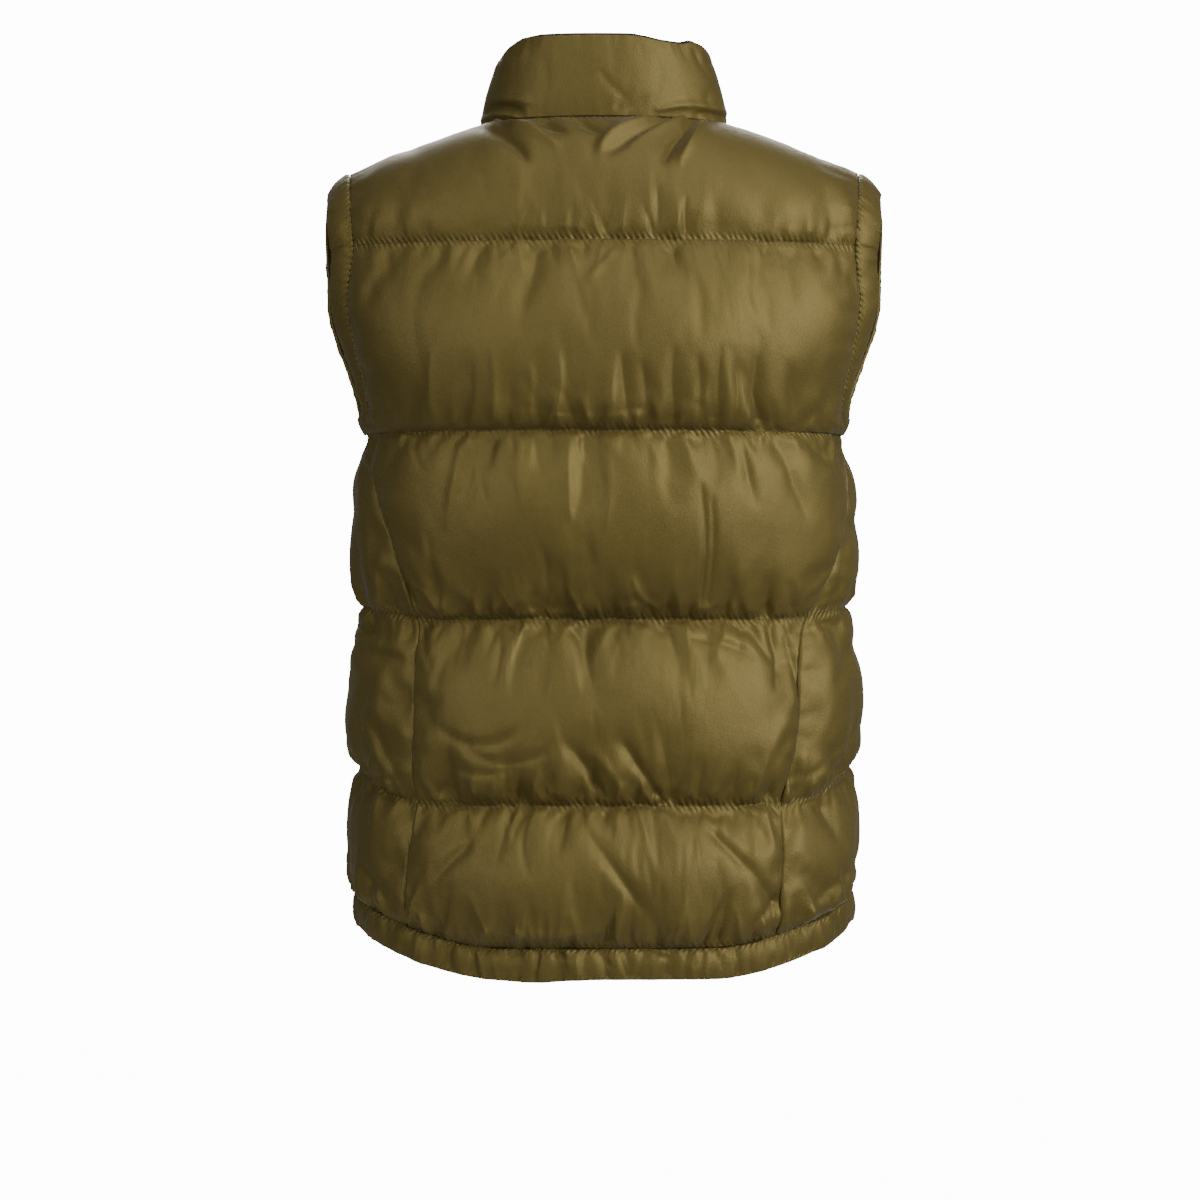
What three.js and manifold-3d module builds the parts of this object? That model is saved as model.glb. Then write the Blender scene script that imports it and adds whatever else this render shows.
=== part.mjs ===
// Quilted puffer vest, worn, with its zip closed
// Millimetres: x is the wearer's left, y the wearer's back, z up, origin at the middle of the neck's base
import * as THREE from 'three';
import Module from 'manifold-3d';
import { mergeVertices } from 'three/addons/utils/BufferGeometryUtils.js';

const wasm = await Module();
wasm.setup();

// Cloth and seams
const wall = 2.4;
const seamGap = 0.36;
const seamRadius = 150;
const roundness = 2.35;

// Neck ring and shoulder tips
const neck = { halfWidth: 96, back: 62, front: 88, height: -4, frontDrop: 58, dropPower: 1.7 };
const shoulderTip = { x: 203, y: -4, z: -43 };

// Armhole, seen from the side
const armhole = { middle: -146, middleY: 6, halfHeight: 105, back: 62, front: -52, squareness: 2.3 };

// Stand collar
const collar = {
  topScale: 0.875, backScale: 0.97, frontScale: 0.955, narrowFrom: 10, narrowTo: 80, puff: 3.2, lift: 0.6,
};
const lining = { thickness: 1.1, gap: 0.38, steps: [0.08, 0.4, 0.75, 1.03] };

// Bands and zip
const hemBand = { height: 24, puff: 3.8, hang: 0.6, zipEnd: 0.98 };
const armBand = { width: 24, puff: 3.4, gap: 0.65, roughOut: 0.6, inwards: 0.6, extraDrop: 0.2 };
const armLean = { underarm: 0.42, shoulder: 0.8, from: 0.05, to: 0.85 };
const armWidth = { underarm: 0.62, until: 0.3 };
const zip = {
  halfGap: 7, tapeOuter: 6.5, tapeInner: 3.15, tapeThickness: 1.2, chainHalf: 2.75, chainThickness: 3,
};
const slider = {
  halfWidth: 4.9, height: 11, plate: 1.6, webHalf: 0.8, clearance: 0.35, drop: 1.5, edge: 0.5, bevel: 0.9,
};
const bail = {
  halfWidth: 1, holeHalf: 2, holeDepth: 2.9, thickness: 1.1, root: 0.4, corner: 1, shoulder: 1.2,
};
const pull = {
  barHalf: 0.75, thickness: 1.6, slotHalf: 1.5, slotLength: 5.6, topHalf: 2.9, corner: 0.6,
  armEnd: 1, tabStart: 5, endHalf: 4, length: 33,
};

// Reads a table: the first argument names the columns, and each row is one place
function named(columns, rows) {
  return rows.map((row) => Object.fromEntries(columns.map((name, k) => [name, row[k]])));
}

// Body through the stitch lines, top to bottom
const sections = named(['at', 'half', 'back', 'front'], [
  [-60, 222, 92, 92],
  [-104, 223, 104, 101],
  [-147, 224, 113, 109],
  [-180, 215, 117, 113],
  [-215, 200, 118, 115],
  [-251, 187.5, 117, 115],
  [-290, 189.5, 110, 112],
  [-340, 192, 102, 107],
  [-397, 190.5, 97, 102],
  [-470, 194.5, 100, 102],
  [-541, 191.5, 107, 104],
  [-600, 194, 113, 107],
  [-660, 194, 115, 108],
]);

// Side seams, as angles round the body from the middle of the back
const sideSeams = named(['at', 'left', 'right'], [
  [-251, 84.5, 86.5],
  [-285, 75, 83],
  [-320, 69.5, 78.5],
  [-360, 66, 73.5],
  [-397, 64, 68.5],
  [-430, 63, 65],
  [-487, 62, 62.5],
  [-541, 61.5, 58.8],
  [-600, 61.3, 56],
  [-650, 61.2, 55.4],
]);

// Stitch lines: heights at the back, side and front, and the angles between which a line climbs
const stitchLines = named(['back', 'side', 'front', 'from', 'to'], [
  [-104, -118, -118, 80, 95],
  [-251, -251, -251, 60, 90],
  [-397, -387, -388, 55, 90],
  [-541, -513, -514, 57, 92],
  [-650, -612, -610, 38, 95],
]);

// How far each channel's filling stands out, and how deep its gathers are
const channels = named(['back', 'side', 'front', 'gather'], [
  [8, 5, 7, 1.6],
  [15, 8, 12, 2.6],
  [16.5, 8, 12.5, 2.8],
  [17, 8.5, 12.5, 3],
  [15, 7.5, 12, 2.8],
]);

// Shape of the filling between two stitch lines, and of the gathers beside them
const quilting = { lean: 1.15, fullness: 0.8, edgeReach: 15, arcPerDegree: 2.4, gatherFade: 0.16 };
const edgeFloors = { back: [0.3, 0.3], front: [0.25, 0.3] };
const gatherWaves = { size: 5.6, drift: 17, wander: 1.6, lineShift: 2.1 };

// Largest folds: a soft trough along each line from one end to the other, negative depth inwards
const folds = named(['face', 'x1', 'z1', 'x2', 'z2', 'width', 'depth'], [
  ['back', -66, -12, -20, -30, 7, -2.5],
  ['back', -80, -14, -56, -46, 7, -2.5],
  ['back', 82, -16, 58, -48, 7, -2],
  ['back', -22, -205, -27, -249, 8, -3],
  ['back', -70, -212, -66, -249, 8, -3],
  ['back', -108, -200, -100, -249, 9, -3],
  ['back', 84, -212, 88, -249, 9, -3],
  ['back', -74, -285, -77, -375, 8, -3],
  ['back', -130, -256, -146, -318, 9, -4],
  ['back', 112, -262, 118, -330, 9, -3],
  ['back', 26, -495, 0, -536, 9, -4.5],
  ['back', -14, -490, -46, -538, 9, -4.5],
  ['back', -122, -402, -142, -455, 9, -4],
  ['back', -66, -414, -108, -428, 8, -3],
  ['back', 74, -402, 66, -450, 9, -3],
  ['back', 10, -572, -30, -620, 9, -3],
  ['back', -76, -560, -108, -592, 9, -3],
  ['back', 96, -548, 104, -596, 9, -3],
  ['front', 186, -396, 170, -440, 9, -5],
  ['front', 194, -425, 156, -528, 10, -4],
  ['front', 192, -560, 158, -622, 10, -4],
  ['front', -190, -400, -176, -450, 9, -4],
  ['front', -190, -470, -160, -520, 10, -4],
  ['front', 60, -300, 96, -372, 9, -3],
  ['front', -52, -296, -90, -376, 9, -3],
  ['front', -70, -520, -98, -580, 9, -3],
  ['front', 84, -524, 58, -592, 9, -3],
  ['front', -112, -150, -84, -228, 9, -3],
  ['front', 106, -160, 92, -236, 9, -3],
]);

// Collar's top edge, by the angle round the neck from the back
const collarTop = named(['at', 'left', 'right'], [
  [0, 61, 61],
  [35, 61.5, 61],
  [52, 60, 60],
  [70, 51, 56],
  [85, 44, 50],
  [110, 37, 40],
  [150, 12, 12],
  [180, 3, 3],
]);

// Steps down each channel, and across each strip
const yokeSteps = [0, 0.16, 0.34, 0.54, 0.74, 0.9, 1];
const channelSteps = [0.07, 0.2, 0.38, 0.58, 0.78, 0.93, 1];
const plainSteps = [0.58, 1];
const yokeRoll = { least: 0.5, from: 0.2, past: 0.1 };
const stripSteps = named(['at', 'puff'], [[0.12, 0.6], [0.34, 1], [0.64, 1], [0.88, 0.65], [1, 0]]);
const panelColumns = { backNeck: 12, backShoulder: 8, frontNeck: 12, frontShoulder: 8 };
const neckShare = { back: 0.6, front: 0.52 };
const hemRows = [0, 2, 5];

const degrees = 180 / Math.PI;
const sideNames = { 1: 'left', [-1]: 'right' };
const mix = THREE.MathUtils.lerp;
const smooth = (value, low = 0, high = 1) => THREE.MathUtils.smoothstep(value, low, high);

// Smooth value of a table's column between its rows
function along(table, column, at) {
  const way = Math.sign(table[1].at - table[0].at);
  const last = table.length - 1;
  let k = 0;
  while (k < last - 1 && (at - table[k + 1].at) * way > 0) k += 1;
  const slope = (n) => {
    const before = table[Math.max(n - 1, 0)];
    const after = table[Math.min(n + 1, last)];
    return (after[column] - before[column]) / (after.at - before.at);
  };
  const span = table[k + 1].at - table[k].at;
  const t = THREE.MathUtils.clamp((at - table[k].at) / span, 0, 1);
  const ease = t * t * (3 - 2 * t);
  const leave = slope(k) * span * t * (1 - t) * (1 - t);
  const arrive = slope(k + 1) * span * t * t * (1 - t);
  return mix(table[k][column], table[k + 1][column], ease) + leave - arrive;
}

// A point on the body, by the angle from the middle of the back and the height
function bodyPoint(angle, z) {
  const across = Math.sin(angle / degrees);
  const deep = Math.cos(angle / degrees);
  const depth = along(sections, deep >= 0 ? 'back' : 'front', z);
  const half = along(sections, 'half', z);
  const size = (Math.abs(across) / half) ** roundness + (Math.abs(deep) / depth) ** roundness;
  const reach = size ** (-1 / roundness);
  return new THREE.Vector3(reach * across, reach * deep, z);
}

// Angle at which the body has a depth y
function angleAtDepth(y, z) {
  const depth = along(sections, y >= 0 ? 'back' : 'front', z);
  const half = along(sections, 'half', z);
  const x = half * Math.max(0, 1 - (Math.abs(y) / depth) ** roundness) ** (1 / roundness);
  return Math.atan2(x, y) * degrees;
}

// Height of a stitch line at an angle
function lineHeight(line, angle) {
  const { back, side, front, from, to } = stitchLines[line];
  const turn = Math.abs(angle);
  return mix(mix(back, side, smooth(turn, from, to)), front, smooth(turn, 90, 150));
}

// Angle of a panel's outer edge: the armhole in the first channel, then the side seam
function edgeAngle(face, side, channel, t) {
  const sideName = sideNames[side];
  const upper = stitchLines[channel - 1];
  const lower = stitchLines[channel];
  if (channel > 1) return along(sideSeams, sideName, mix(upper.back, lower.back, t));
  const z = mix(upper[face], lower[face], t);
  const low = bodyPoint(sideSeams[0][sideName], sideSeams[0].at).y;
  const level = Math.min(1, Math.abs((z - armhole.middle) / armhole.halfHeight));
  const open = (1 - level ** armhole.squareness) ** (1 / armhole.squareness);
  return angleAtDepth(mix(low, armhole[face], open), z);
}

// The neck and shoulder edge above a point of the yoke line
function topPoint(face, side, share) {
  const neckPart = neckShare[face];
  const sign = face === 'back' ? 1 : -1;
  if (share <= neckPart) {
    const start = face === 'back' ? 0 : Math.asin(zip.halfGap / neck.halfWidth);
    const turn = mix(start, Math.PI / 2, neckPlace(share, face));
    const drop = face === 'back' ? 0 : neck.frontDrop * Math.cos(turn) ** neck.dropPower;
    const depth = neck[face] * Math.cos(turn);
    return new THREE.Vector3(side * neck.halfWidth * Math.sin(turn), sign * depth, neck.height - drop);
  }
  const part = (share - neckPart) / (1 - neckPart);
  const out = mix(neck.halfWidth, shoulderTip.x, part);
  const seam = seamGap / 2 * sign;
  return new THREE.Vector3(side * out, shoulderTip.y * part + seam, mix(neck.height, shoulderTip.z, part));
}

// Columns crowd towards the neck's corner on the yoke line and stand even on the neck ring
const neckSpread = (place) => 0.5 * place + 0.5 * Math.sin(place * Math.PI / 2);
function neckPlace(share, face) {
  const wanted = share / neckShare[face];
  let low = 0;
  let high = 1;
  for (let k = 0; k < 24; k += 1) {
    const place = (low + high) / 2;
    if (neckSpread(place) < wanted) low = place;
    else high = place;
  }
  return (low + high) / 2;
}

// Shares of a panel's width at which its columns stand
function columnShares(face, neckCount, shoulderCount) {
  const neckPart = neckShare[face];
  const inner = Array.from({ length: neckCount + 1 }, (_, k) => neckPart * neckSpread(k / neckCount));
  const outer = Array.from({ length: shoulderCount }, (_, k) => mix(neckPart, 1, (k + 1) / shoulderCount));
  return [...inner, ...outer];
}

// A point of a panel's middle surface, by its share of the width and its place down a channel
function panelPoint(face, side, share, channel, t) {
  if (channel === 0) {
    const foot = panelPoint(face, side, share, 1, 0);
    const top = topPoint(face, side, share);
    const turn = (1 - t) * Math.PI / 2;
    const roll = mix(yokeRoll.least, 1, smooth(share, yokeRoll.from, neckShare[face] + yokeRoll.past));
    const climb = mix(1 - t, Math.sin(turn), roll);
    const lean = mix(t, Math.cos(turn), roll);
    return new THREE.Vector3(mix(foot.x, top.x, 1 - t), mix(top.y, foot.y, lean), mix(foot.z, top.z, climb));
  }
  const gapAngle = seamGap / 2 / seamRadius * degrees;
  const edge = edgeAngle(face, side, channel, t);
  const upper = stitchLines[channel - 1][face];
  const lower = stitchLines[channel][face];
  const rough = mix(upper, lower, t);
  const zipAngle = 180 - Math.asin(zip.halfGap / along(sections, 'front', rough)) * degrees;
  const seamed = channel > 1 || t === 1;
  const clear = seamed ? gapAngle : 0;
  const angle = face === 'back' ? share * (edge - clear) : mix(zipAngle, edge + clear, share);
  const z = mix(lineHeight(channel - 1, angle), lineHeight(channel, angle), t);
  return bodyPoint(side * angle, z);
}

// Unit normals of a grid of points
function gridNormals(points, outward) {
  const rowCount = points.length;
  const columnCount = points[0].length;
  return points.map((row, i) => row.map((_, j) => {
    const down = points[Math.min(i + 1, rowCount - 1)][j].clone().sub(points[Math.max(i - 1, 0)][j]);
    const across = row[Math.min(j + 1, columnCount - 1)].clone().sub(row[Math.max(j - 1, 0)]);
    return down.cross(across).normalize().multiplyScalar(outward);
  }));
}

// Uneven wave of the gathers along a stitch line
function gatherWave(arc, line) {
  const { size, drift, wander, lineShift } = gatherWaves;
  return Math.sin(arc / size + wander * Math.sin(arc / drift + lineShift * line) + line);
}

// How far a fold moves the cloth at a point
function foldPush(fold, point) {
  const dx = fold.x2 - fold.x1;
  const dz = fold.z2 - fold.z1;
  const part = ((point.x - fold.x1) * dx + (point.z - fold.z1) * dz) / (dx * dx + dz * dz);
  const held = THREE.MathUtils.clamp(part, 0, 1);
  const away = Math.hypot(point.x - fold.x1 - held * dx, point.z - fold.z1 - held * dz);
  return fold.depth * Math.exp(-((away / fold.width) ** 2));
}

// How far the outer cloth stands from the middle surface
function puffHeight(face, point, channel, t, edges) {
  const { back, side, front, gather } = channels[channel];
  const { lean, fullness, edgeReach, arcPerDegree, gatherFade } = quilting;
  const angle = Math.atan2(Math.abs(point.x), point.y) * degrees;
  const behind = mix(back, side, smooth(angle, 20, 85));
  const deep = angle < 90 ? behind : mix(side, front, smooth(angle, 95, 150));
  const crown = Math.sin(Math.PI * t ** lean) ** fullness;
  const held = (at) => Math.exp(-((at.distanceTo(point) / edgeReach) ** 2));
  const pinch = edges.map(({ at, floor }) => 1 - (1 - floor) * held(at));
  const arc = angle * Math.sign(point.x) * arcPerDegree;
  const nearTop = Math.exp(-t / gatherFade) * gatherWave(arc, channel - 1);
  const nearFoot = Math.exp(-(1 - t) / gatherFade) * gatherWave(arc, channel);
  const gathers = gather * Math.sqrt(crown) * (nearTop + nearFoot);
  const near = folds.filter((fold) => fold.face === face);
  const creases = near.reduce((sum, fold) => sum + foldPush(fold, point), 0);
  return Math.max(0, (deep * crown + gathers + creases * Math.sqrt(crown)) * pinch[0] * pinch[1]);
}

// Middle surface, normals, and outer and inner points of one panel
function panelGrids(face, side) {
  const steps = [yokeSteps, channelSteps, channelSteps, channelSteps, channelSteps];
  const rows = steps.flatMap((list, channel) => list.map((t) => ({ channel, t })));
  const shares = face === 'back'
    ? columnShares(face, panelColumns.backNeck, panelColumns.backShoulder)
    : columnShares(face, panelColumns.frontNeck, panelColumns.frontShoulder);
  const half = (way, list) => list.map((share) => ({ side: way, share }));
  const whole = [...half(-1, shares.slice(1).reverse()), ...half(1, shares)];
  const columns = face === 'back' ? whole : half(side, shares);
  const base = rows.map(({ channel, t }) => columns.map((c) => panelPoint(face, c.side, c.share, channel, t)));
  const middleRow = Math.floor(rows.length / 2);
  const middleColumn = Math.floor(columns.length / 2);
  const trial = gridNormals(base, 1)[middleRow][middleColumn];
  const centre = base[middleRow][middleColumn];
  const outward = Math.sign(trial.x * centre.x + trial.y * centre.y);
  const normals = gridNormals(base, outward);
  base[0].forEach((point, j) => {
    const onShoulder = Math.abs(point.x) > neck.halfWidth - 0.01;
    if (onShoulder) normals[0][j].setY(0).normalize();
  });
  const floors = edgeFloors[face];
  const outer = base.map((row, i) => row.map((point, j) => {
    const edges = [{ at: row[0], floor: floors[0] }, { at: row[row.length - 1], floor: floors[1] }];
    const height = wall / 2 + puffHeight(face, point, rows[i].channel, rows[i].t, edges);
    return point.clone().addScaledVector(normals[i][j], height);
  }));
  const inner = base.map((row, i) => row.map((point, j) => (
    point.clone().addScaledVector(normals[i][j], -wall / 2))));
  const onPlain = ({ channel, t }) => channel < 2 || plainSteps.includes(t);
  const plainRows = rows.map((row, i) => (onPlain(row) ? i : -1)).filter((i) => i >= 0);
  return { rows, columns, base, normals, outer, inner, plainRows };
}

// Closed wall between an outer and an inner grid; innerRows says beside which outer row each inner row lies
function closedWall(outer, inner, { looped = false, innerRows = null } = {}) {
  const positions = [];
  const triangles = [];
  const add = (point) => positions.push(point.x, point.y, point.z) / 3 - 1;
  const number = (grid) => grid.map((row) => {
    const ids = row.map(add);
    return looped ? [...ids, ids[0]] : ids;
  });
  const face = (a, b, c) => triangles.push(a, b, c);
  const fill = (ids, flip) => {
    for (let i = 0; i + 1 < ids.length; i += 1) {
      for (let j = 0; j + 1 < ids[0].length; j += 1) {
        const [a, b, c, d] = [ids[i][j], ids[i + 1][j], ids[i + 1][j + 1], ids[i][j + 1]];
        if (flip) [[a, c, b], [a, d, c]].forEach((t) => face(...t));
        else [[a, b, c], [a, c, d]].forEach((t) => face(...t));
      }
    }
  };
  const lace = (first, second, flip, places = null) => {
    let p = 0;
    let q = 0;
    while (p < first.length - 1 || q < second.length - 1) {
      const nextP = (p + 1) / (first.length - 1);
      const nextQ = places ? places[q + 1] / places.at(-1) : (q + 1) / (second.length - 1);
      const stepFirst = p < first.length - 1 && (q === second.length - 1 || nextP <= nextQ + 1e-9);
      const t = stepFirst ? [first[p + 1], first[p], second[q]] : [second[q], second[q + 1], first[p]];
      if (stepFirst) p += 1;
      else q += 1;
      if (flip) t.reverse();
      face(...t);
    }
  };
  const out = number(outer);
  const back = number(inner);
  fill(out, false);
  fill(back, true);
  const column = (ids, j) => ids.map((row) => row.at(j));
  lace(out[0], back[0], true);
  lace(out.at(-1), back.at(-1), false);
  if (!looped) {
    lace(column(out, 0), column(back, 0), false, innerRows);
    lace(column(out, -1), column(back, -1), true, innerRows);
  }
  return facingOut(positions, triangles);
}

// Geometry with every triangle facing out of the solid
function facingOut(positions, triangles) {
  let volume = 0;
  const at = (k) => new THREE.Vector3().fromArray(positions, 3 * k);
  for (let k = 0; k < triangles.length; k += 3) {
    volume += at(triangles[k]).dot(at(triangles[k + 1]).cross(at(triangles[k + 2])));
  }
  if (volume < 0) triangles.reverse();
  const geometry = new THREE.BufferGeometry();
  geometry.setAttribute('position', new THREE.Float32BufferAttribute(positions, 3));
  geometry.setIndex(triangles);
  geometry.computeVertexNormals();
  return geometry;
}

// Edge points of a panel from a list of [row, column]
function edgePoints(panel, places) {
  return places.map(([i, j]) => ({
    base: panel.base[i][j].clone(),
    outer: panel.outer[i][j].clone(),
    inner: panel.inner[i][j].clone(),
    normal: panel.normals[i][j].clone(),
  }));
}

const middleOf = (a, b) => ({
  base: a.base.clone().lerp(b.base, 0.5),
  outer: a.outer.clone().lerp(b.outer, 0.5),
  inner: a.inner.clone().lerp(b.inner, 0.5),
  normal: a.normal.clone().add(b.normal).normalize(),
});

// Joins edges end to end, with one point where two pieces meet
function joinEdges(edges) {
  return edges.reduce((ring, edge) => {
    if (!ring.length) return [...edge];
    return [...ring.slice(0, -1), middleOf(ring.at(-1), edge[0]), ...edge.slice(1)];
  }, []);
}

// Gives each edge point its way off the panel, in the cloth's plane and square to the edge
function squareOff(ring, looped, roughWay) {
  const count = ring.length;
  return ring.map((point, k) => {
    const before = ring[looped ? (k - 1 + count) % count : Math.max(k - 1, 0)].base;
    const after = ring[looped ? (k + 1) % count : Math.min(k + 1, count - 1)].base;
    const tangent = after.clone().sub(before).normalize();
    const off = point.normal.clone().cross(tangent).normalize();
    if (off.dot(roughWay(point)) < 0) off.negate();
    return { ...point, off, tangent };
  });
}

// A padded strip sewn to a ring of edge points: each later row has its middle, its side and its thickness
function strip(ring, rowAt, puff, gap = seamGap) {
  const first = ring.map((point) => ({
    outer: point.outer.clone().addScaledVector(point.off, gap),
    inner: point.inner.clone().addScaledVector(point.off, gap),
  }));
  const later = stripSteps.map(({ at, puff: share }) => ring.map((point, k) => {
    const { middle, side } = rowAt(point, at, k);
    return {
      outer: middle.clone().addScaledVector(side, wall / 2 + puff * share),
      inner: middle.clone().addScaledVector(side, -wall / 2),
    };
  }));
  const grid = [first, ...later];
  return {
    outer: grid.map((row) => row.map((p) => p.outer)),
    inner: grid.map((row) => row.map((p) => p.inner)),
  };
}

// The three quilted panels
const backPanel = panelGrids('back', 0);
const fronts = { left: panelGrids('front', 1), right: panelGrids('front', -1) };
const lastRow = backPanel.rows.length - 1;
const armRow = yokeSteps.length + channelSteps.length - 1;
const backLast = backPanel.columns.length - 1;
const frontLast = fronts.left.columns.length - 1;
function range(from, to) {
  return Array.from({ length: Math.abs(to - from) + 1 }, (_, k) => from + k * Math.sign(to - from));
}

// Ring of edge points from the left zip edge round the back to the right one, along the top or the hem
function ringAround(row, frontColumns, backColumns, roughWay) {
  const ring = joinEdges([
    edgePoints(fronts.left, frontColumns.map((j) => [row, j])),
    edgePoints(backPanel, backColumns.map((j) => [row, j])),
    edgePoints(fronts.right, [...frontColumns].reverse().map((j) => [row, j])),
  ]);
  return squareOff(ring, false, roughWay);
}

const neckColumns = range(backLast - panelColumns.backShoulder, panelColumns.backShoulder);
const outOfNeck = (base) => {
  const depth = base.y > 0 ? neck.back : neck.front;
  return new THREE.Vector3(base.x / neck.halfWidth ** 2, base.y / depth ** 2, 0).normalize();
};
const downwards = new THREE.Vector3(0, 0, -1);
const intoNeck = (point) => outOfNeck(point.base).add(downwards).negate();
const neckRing = ringAround(0, range(0, panelColumns.frontNeck), neckColumns, intoNeck);
const hemRing = ringAround(lastRow, range(0, frontLast), range(backLast, 0), () => downwards);

// Way from a point of the armhole to its middle, seen from the side
function armholeCentre(base) {
  return new THREE.Vector3(0, armhole.middleY - base.y, armhole.middle - base.z).normalize();
}

// Armhole ring: up the back's edge and down the front's
function armholeRing(side) {
  const column = side > 0 ? backLast : 0;
  const front = fronts[sideNames[side]];
  const upBack = edgePoints(backPanel, range(armRow, 0).map((i) => [i, column]));
  const downFront = edgePoints(front, range(0, armRow).map((i) => [i, frontLast]));
  const open = joinEdges([upBack, downFront]);
  const closed = [middleOf(open.at(-1), open[0]), ...open.slice(1, -1)];
  return squareOff(closed, true, ({ base }) => armholeCentre(base).setX(side * armBand.roughOut));
}

// Collar rows lean in from the neck ring to the top edge
function collarTopPoint(base) {
  const depth = base.y > 0 ? neck.back : neck.front;
  const angle = Math.atan2(Math.abs(base.x) / neck.halfWidth, base.y / depth) * degrees;
  const z = along(collarTop, base.x > 0 ? 'left' : 'right', angle);
  const narrow = mix(1, collar.topScale, smooth(Math.abs(base.x), collar.narrowFrom, collar.narrowTo));
  const depthScale = base.y > 0 ? collar.backScale : collar.frontScale;
  return new THREE.Vector3(base.x * narrow, base.y * depthScale, z);
}

const collarGrids = strip(neckRing, (point, at) => ({
  middle: point.base.clone().addScaledVector(point.off, seamGap).lerp(collarTopPoint(point.base), at),
  side: outOfNeck(point.base),
}), collar.puff);
collarGrids.outer[0].forEach((point, k) => point.addScaledVector(neckRing[k].off, collar.lift));

// Dark lining inside the collar, its top edge just proud
function liningGrids() {
  const rows = lining.steps.map((at) => neckRing.map((point) => ({
    middle: point.base.clone().addScaledVector(point.off, seamGap).lerp(collarTopPoint(point.base), at),
    side: outOfNeck(point.base),
  })));
  const layer = (offset) => rows.map((row) => row.map((p) => p.middle.clone().addScaledVector(p.side, offset)));
  const face = -wall / 2 - lining.gap;
  return { outer: layer(face), inner: layer(face - lining.thickness) };
}

// Hem band hangs down from the hem seam
const hemGrids = strip(hemRing, (point, at) => {
  const way = point.off.clone().lerp(downwards, hemBand.hang).normalize();
  const foot = point.base.clone().addScaledVector(point.off, seamGap);
  const middle = foot.addScaledVector(way, hemBand.height * at);
  return { middle, side: point.normal.clone().setZ(0).normalize() };
}, hemBand.puff);

// Armhole bands lean out over the arm, least at the underarm
function armBandGrids(side) {
  const ring = armholeRing(side);
  const low = ring[0].base.z;
  const high = shoulderTip.z;
  return strip(ring, (point, at) => {
    const height = (point.base.z - low) / (high - low);
    const lean = mix(armLean.underarm, armLean.shoulder, smooth(height, armLean.from, armLean.to));
    const width = mix(armWidth.underarm, 1, smooth(height, 0, armWidth.until)) * armBand.width;
    const inwards = point.off.clone().setX(0);
    inwards.lerp(armholeCentre(point.base), armBand.inwards).normalize();
    const drop = smooth(height, 0.8, 1) * armBand.extraDrop;
    const way = new THREE.Vector3(side * lean, 0, 0);
    way.addScaledVector(inwards, Math.sqrt(1 - lean * lean) + drop).normalize();
    way.addScaledVector(point.tangent, -way.dot(point.tangent)).normalize();
    const normal = way.clone().cross(point.tangent).normalize();
    if (normal.dot(point.normal) < 0) normal.negate();
    const foot = point.base.clone().addScaledVector(point.off, armBand.gap);
    const middle = foot.addScaledVector(way, width * at);
    return { middle, side: normal };
  }, armBand.puff, armBand.gap);
}

// Zip line down the middle of the front: collar, panels and hem band
function zipLine() {
  const collarPart = [1, 0.8, 0.4].map((at) => {
    const base = neckRing[0].base;
    return { point: base.clone().lerp(collarTopPoint(base), at), normal: outOfNeck(base) };
  });
  const panelPart = fronts.left.rows.map((_, i) => ({
    point: fronts.left.base[i][0].clone(),
    normal: fronts.left.normals[i][0].clone(),
  })).filter((_, i) => i % 3 === 0 || i === lastRow);
  const foot = hemRing[0].base.clone().addScaledVector(hemRing[0].off, hemBand.height * hemBand.zipEnd);
  const hemPart = [{ point: foot, normal: hemRing[0].normal.clone() }];
  return [...collarPart, ...panelPart, ...hemPart].map(({ point, normal }) => ({
    point: point.setX(0),
    normal: normal.setX(0).normalize(),
  }));
}

// Bar along the zip line between two widths
function zipBar(line, from, to, thickness) {
  const layer = (offset) => line.map(({ point, normal }) => [from, to].map((x) => {
    const place = point.clone().addScaledVector(normal, offset);
    return place.setX(x);
  }));
  return closedWall(layer(thickness / 2), layer(-thickness / 2));
}

// A closed geometry as a solid, and back
function solidOf(geometry) {
  const bare = geometry.clone();
  bare.deleteAttribute('normal');
  bare.deleteAttribute('uv');
  const merged = mergeVertices(bare, 1e-4);
  const vertProperties = new Float32Array(merged.attributes.position.array);
  const triVerts = new Uint32Array(merged.index.array);
  return new wasm.Manifold(new wasm.Mesh({ numProp: 3, vertProperties, triVerts }));
}

function geometryOf(solid) {
  const mesh = solid.getMesh();
  const geometry = new THREE.BufferGeometry();
  geometry.setAttribute('position', new THREE.BufferAttribute(new Float32Array(mesh.vertProperties), 3));
  geometry.setIndex(new THREE.BufferAttribute(new Uint32Array(mesh.triVerts), 1));
  geometry.computeVertexNormals();
  return geometry;
}

const polygon = (points) => new THREE.Shape(points.map(([u, v]) => new THREE.Vector2(u, v)));
function extruded(shape, depth) {
  return new THREE.ExtrudeGeometry(shape, { depth, bevelEnabled: false, curveSegments: 6 });
}

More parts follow.
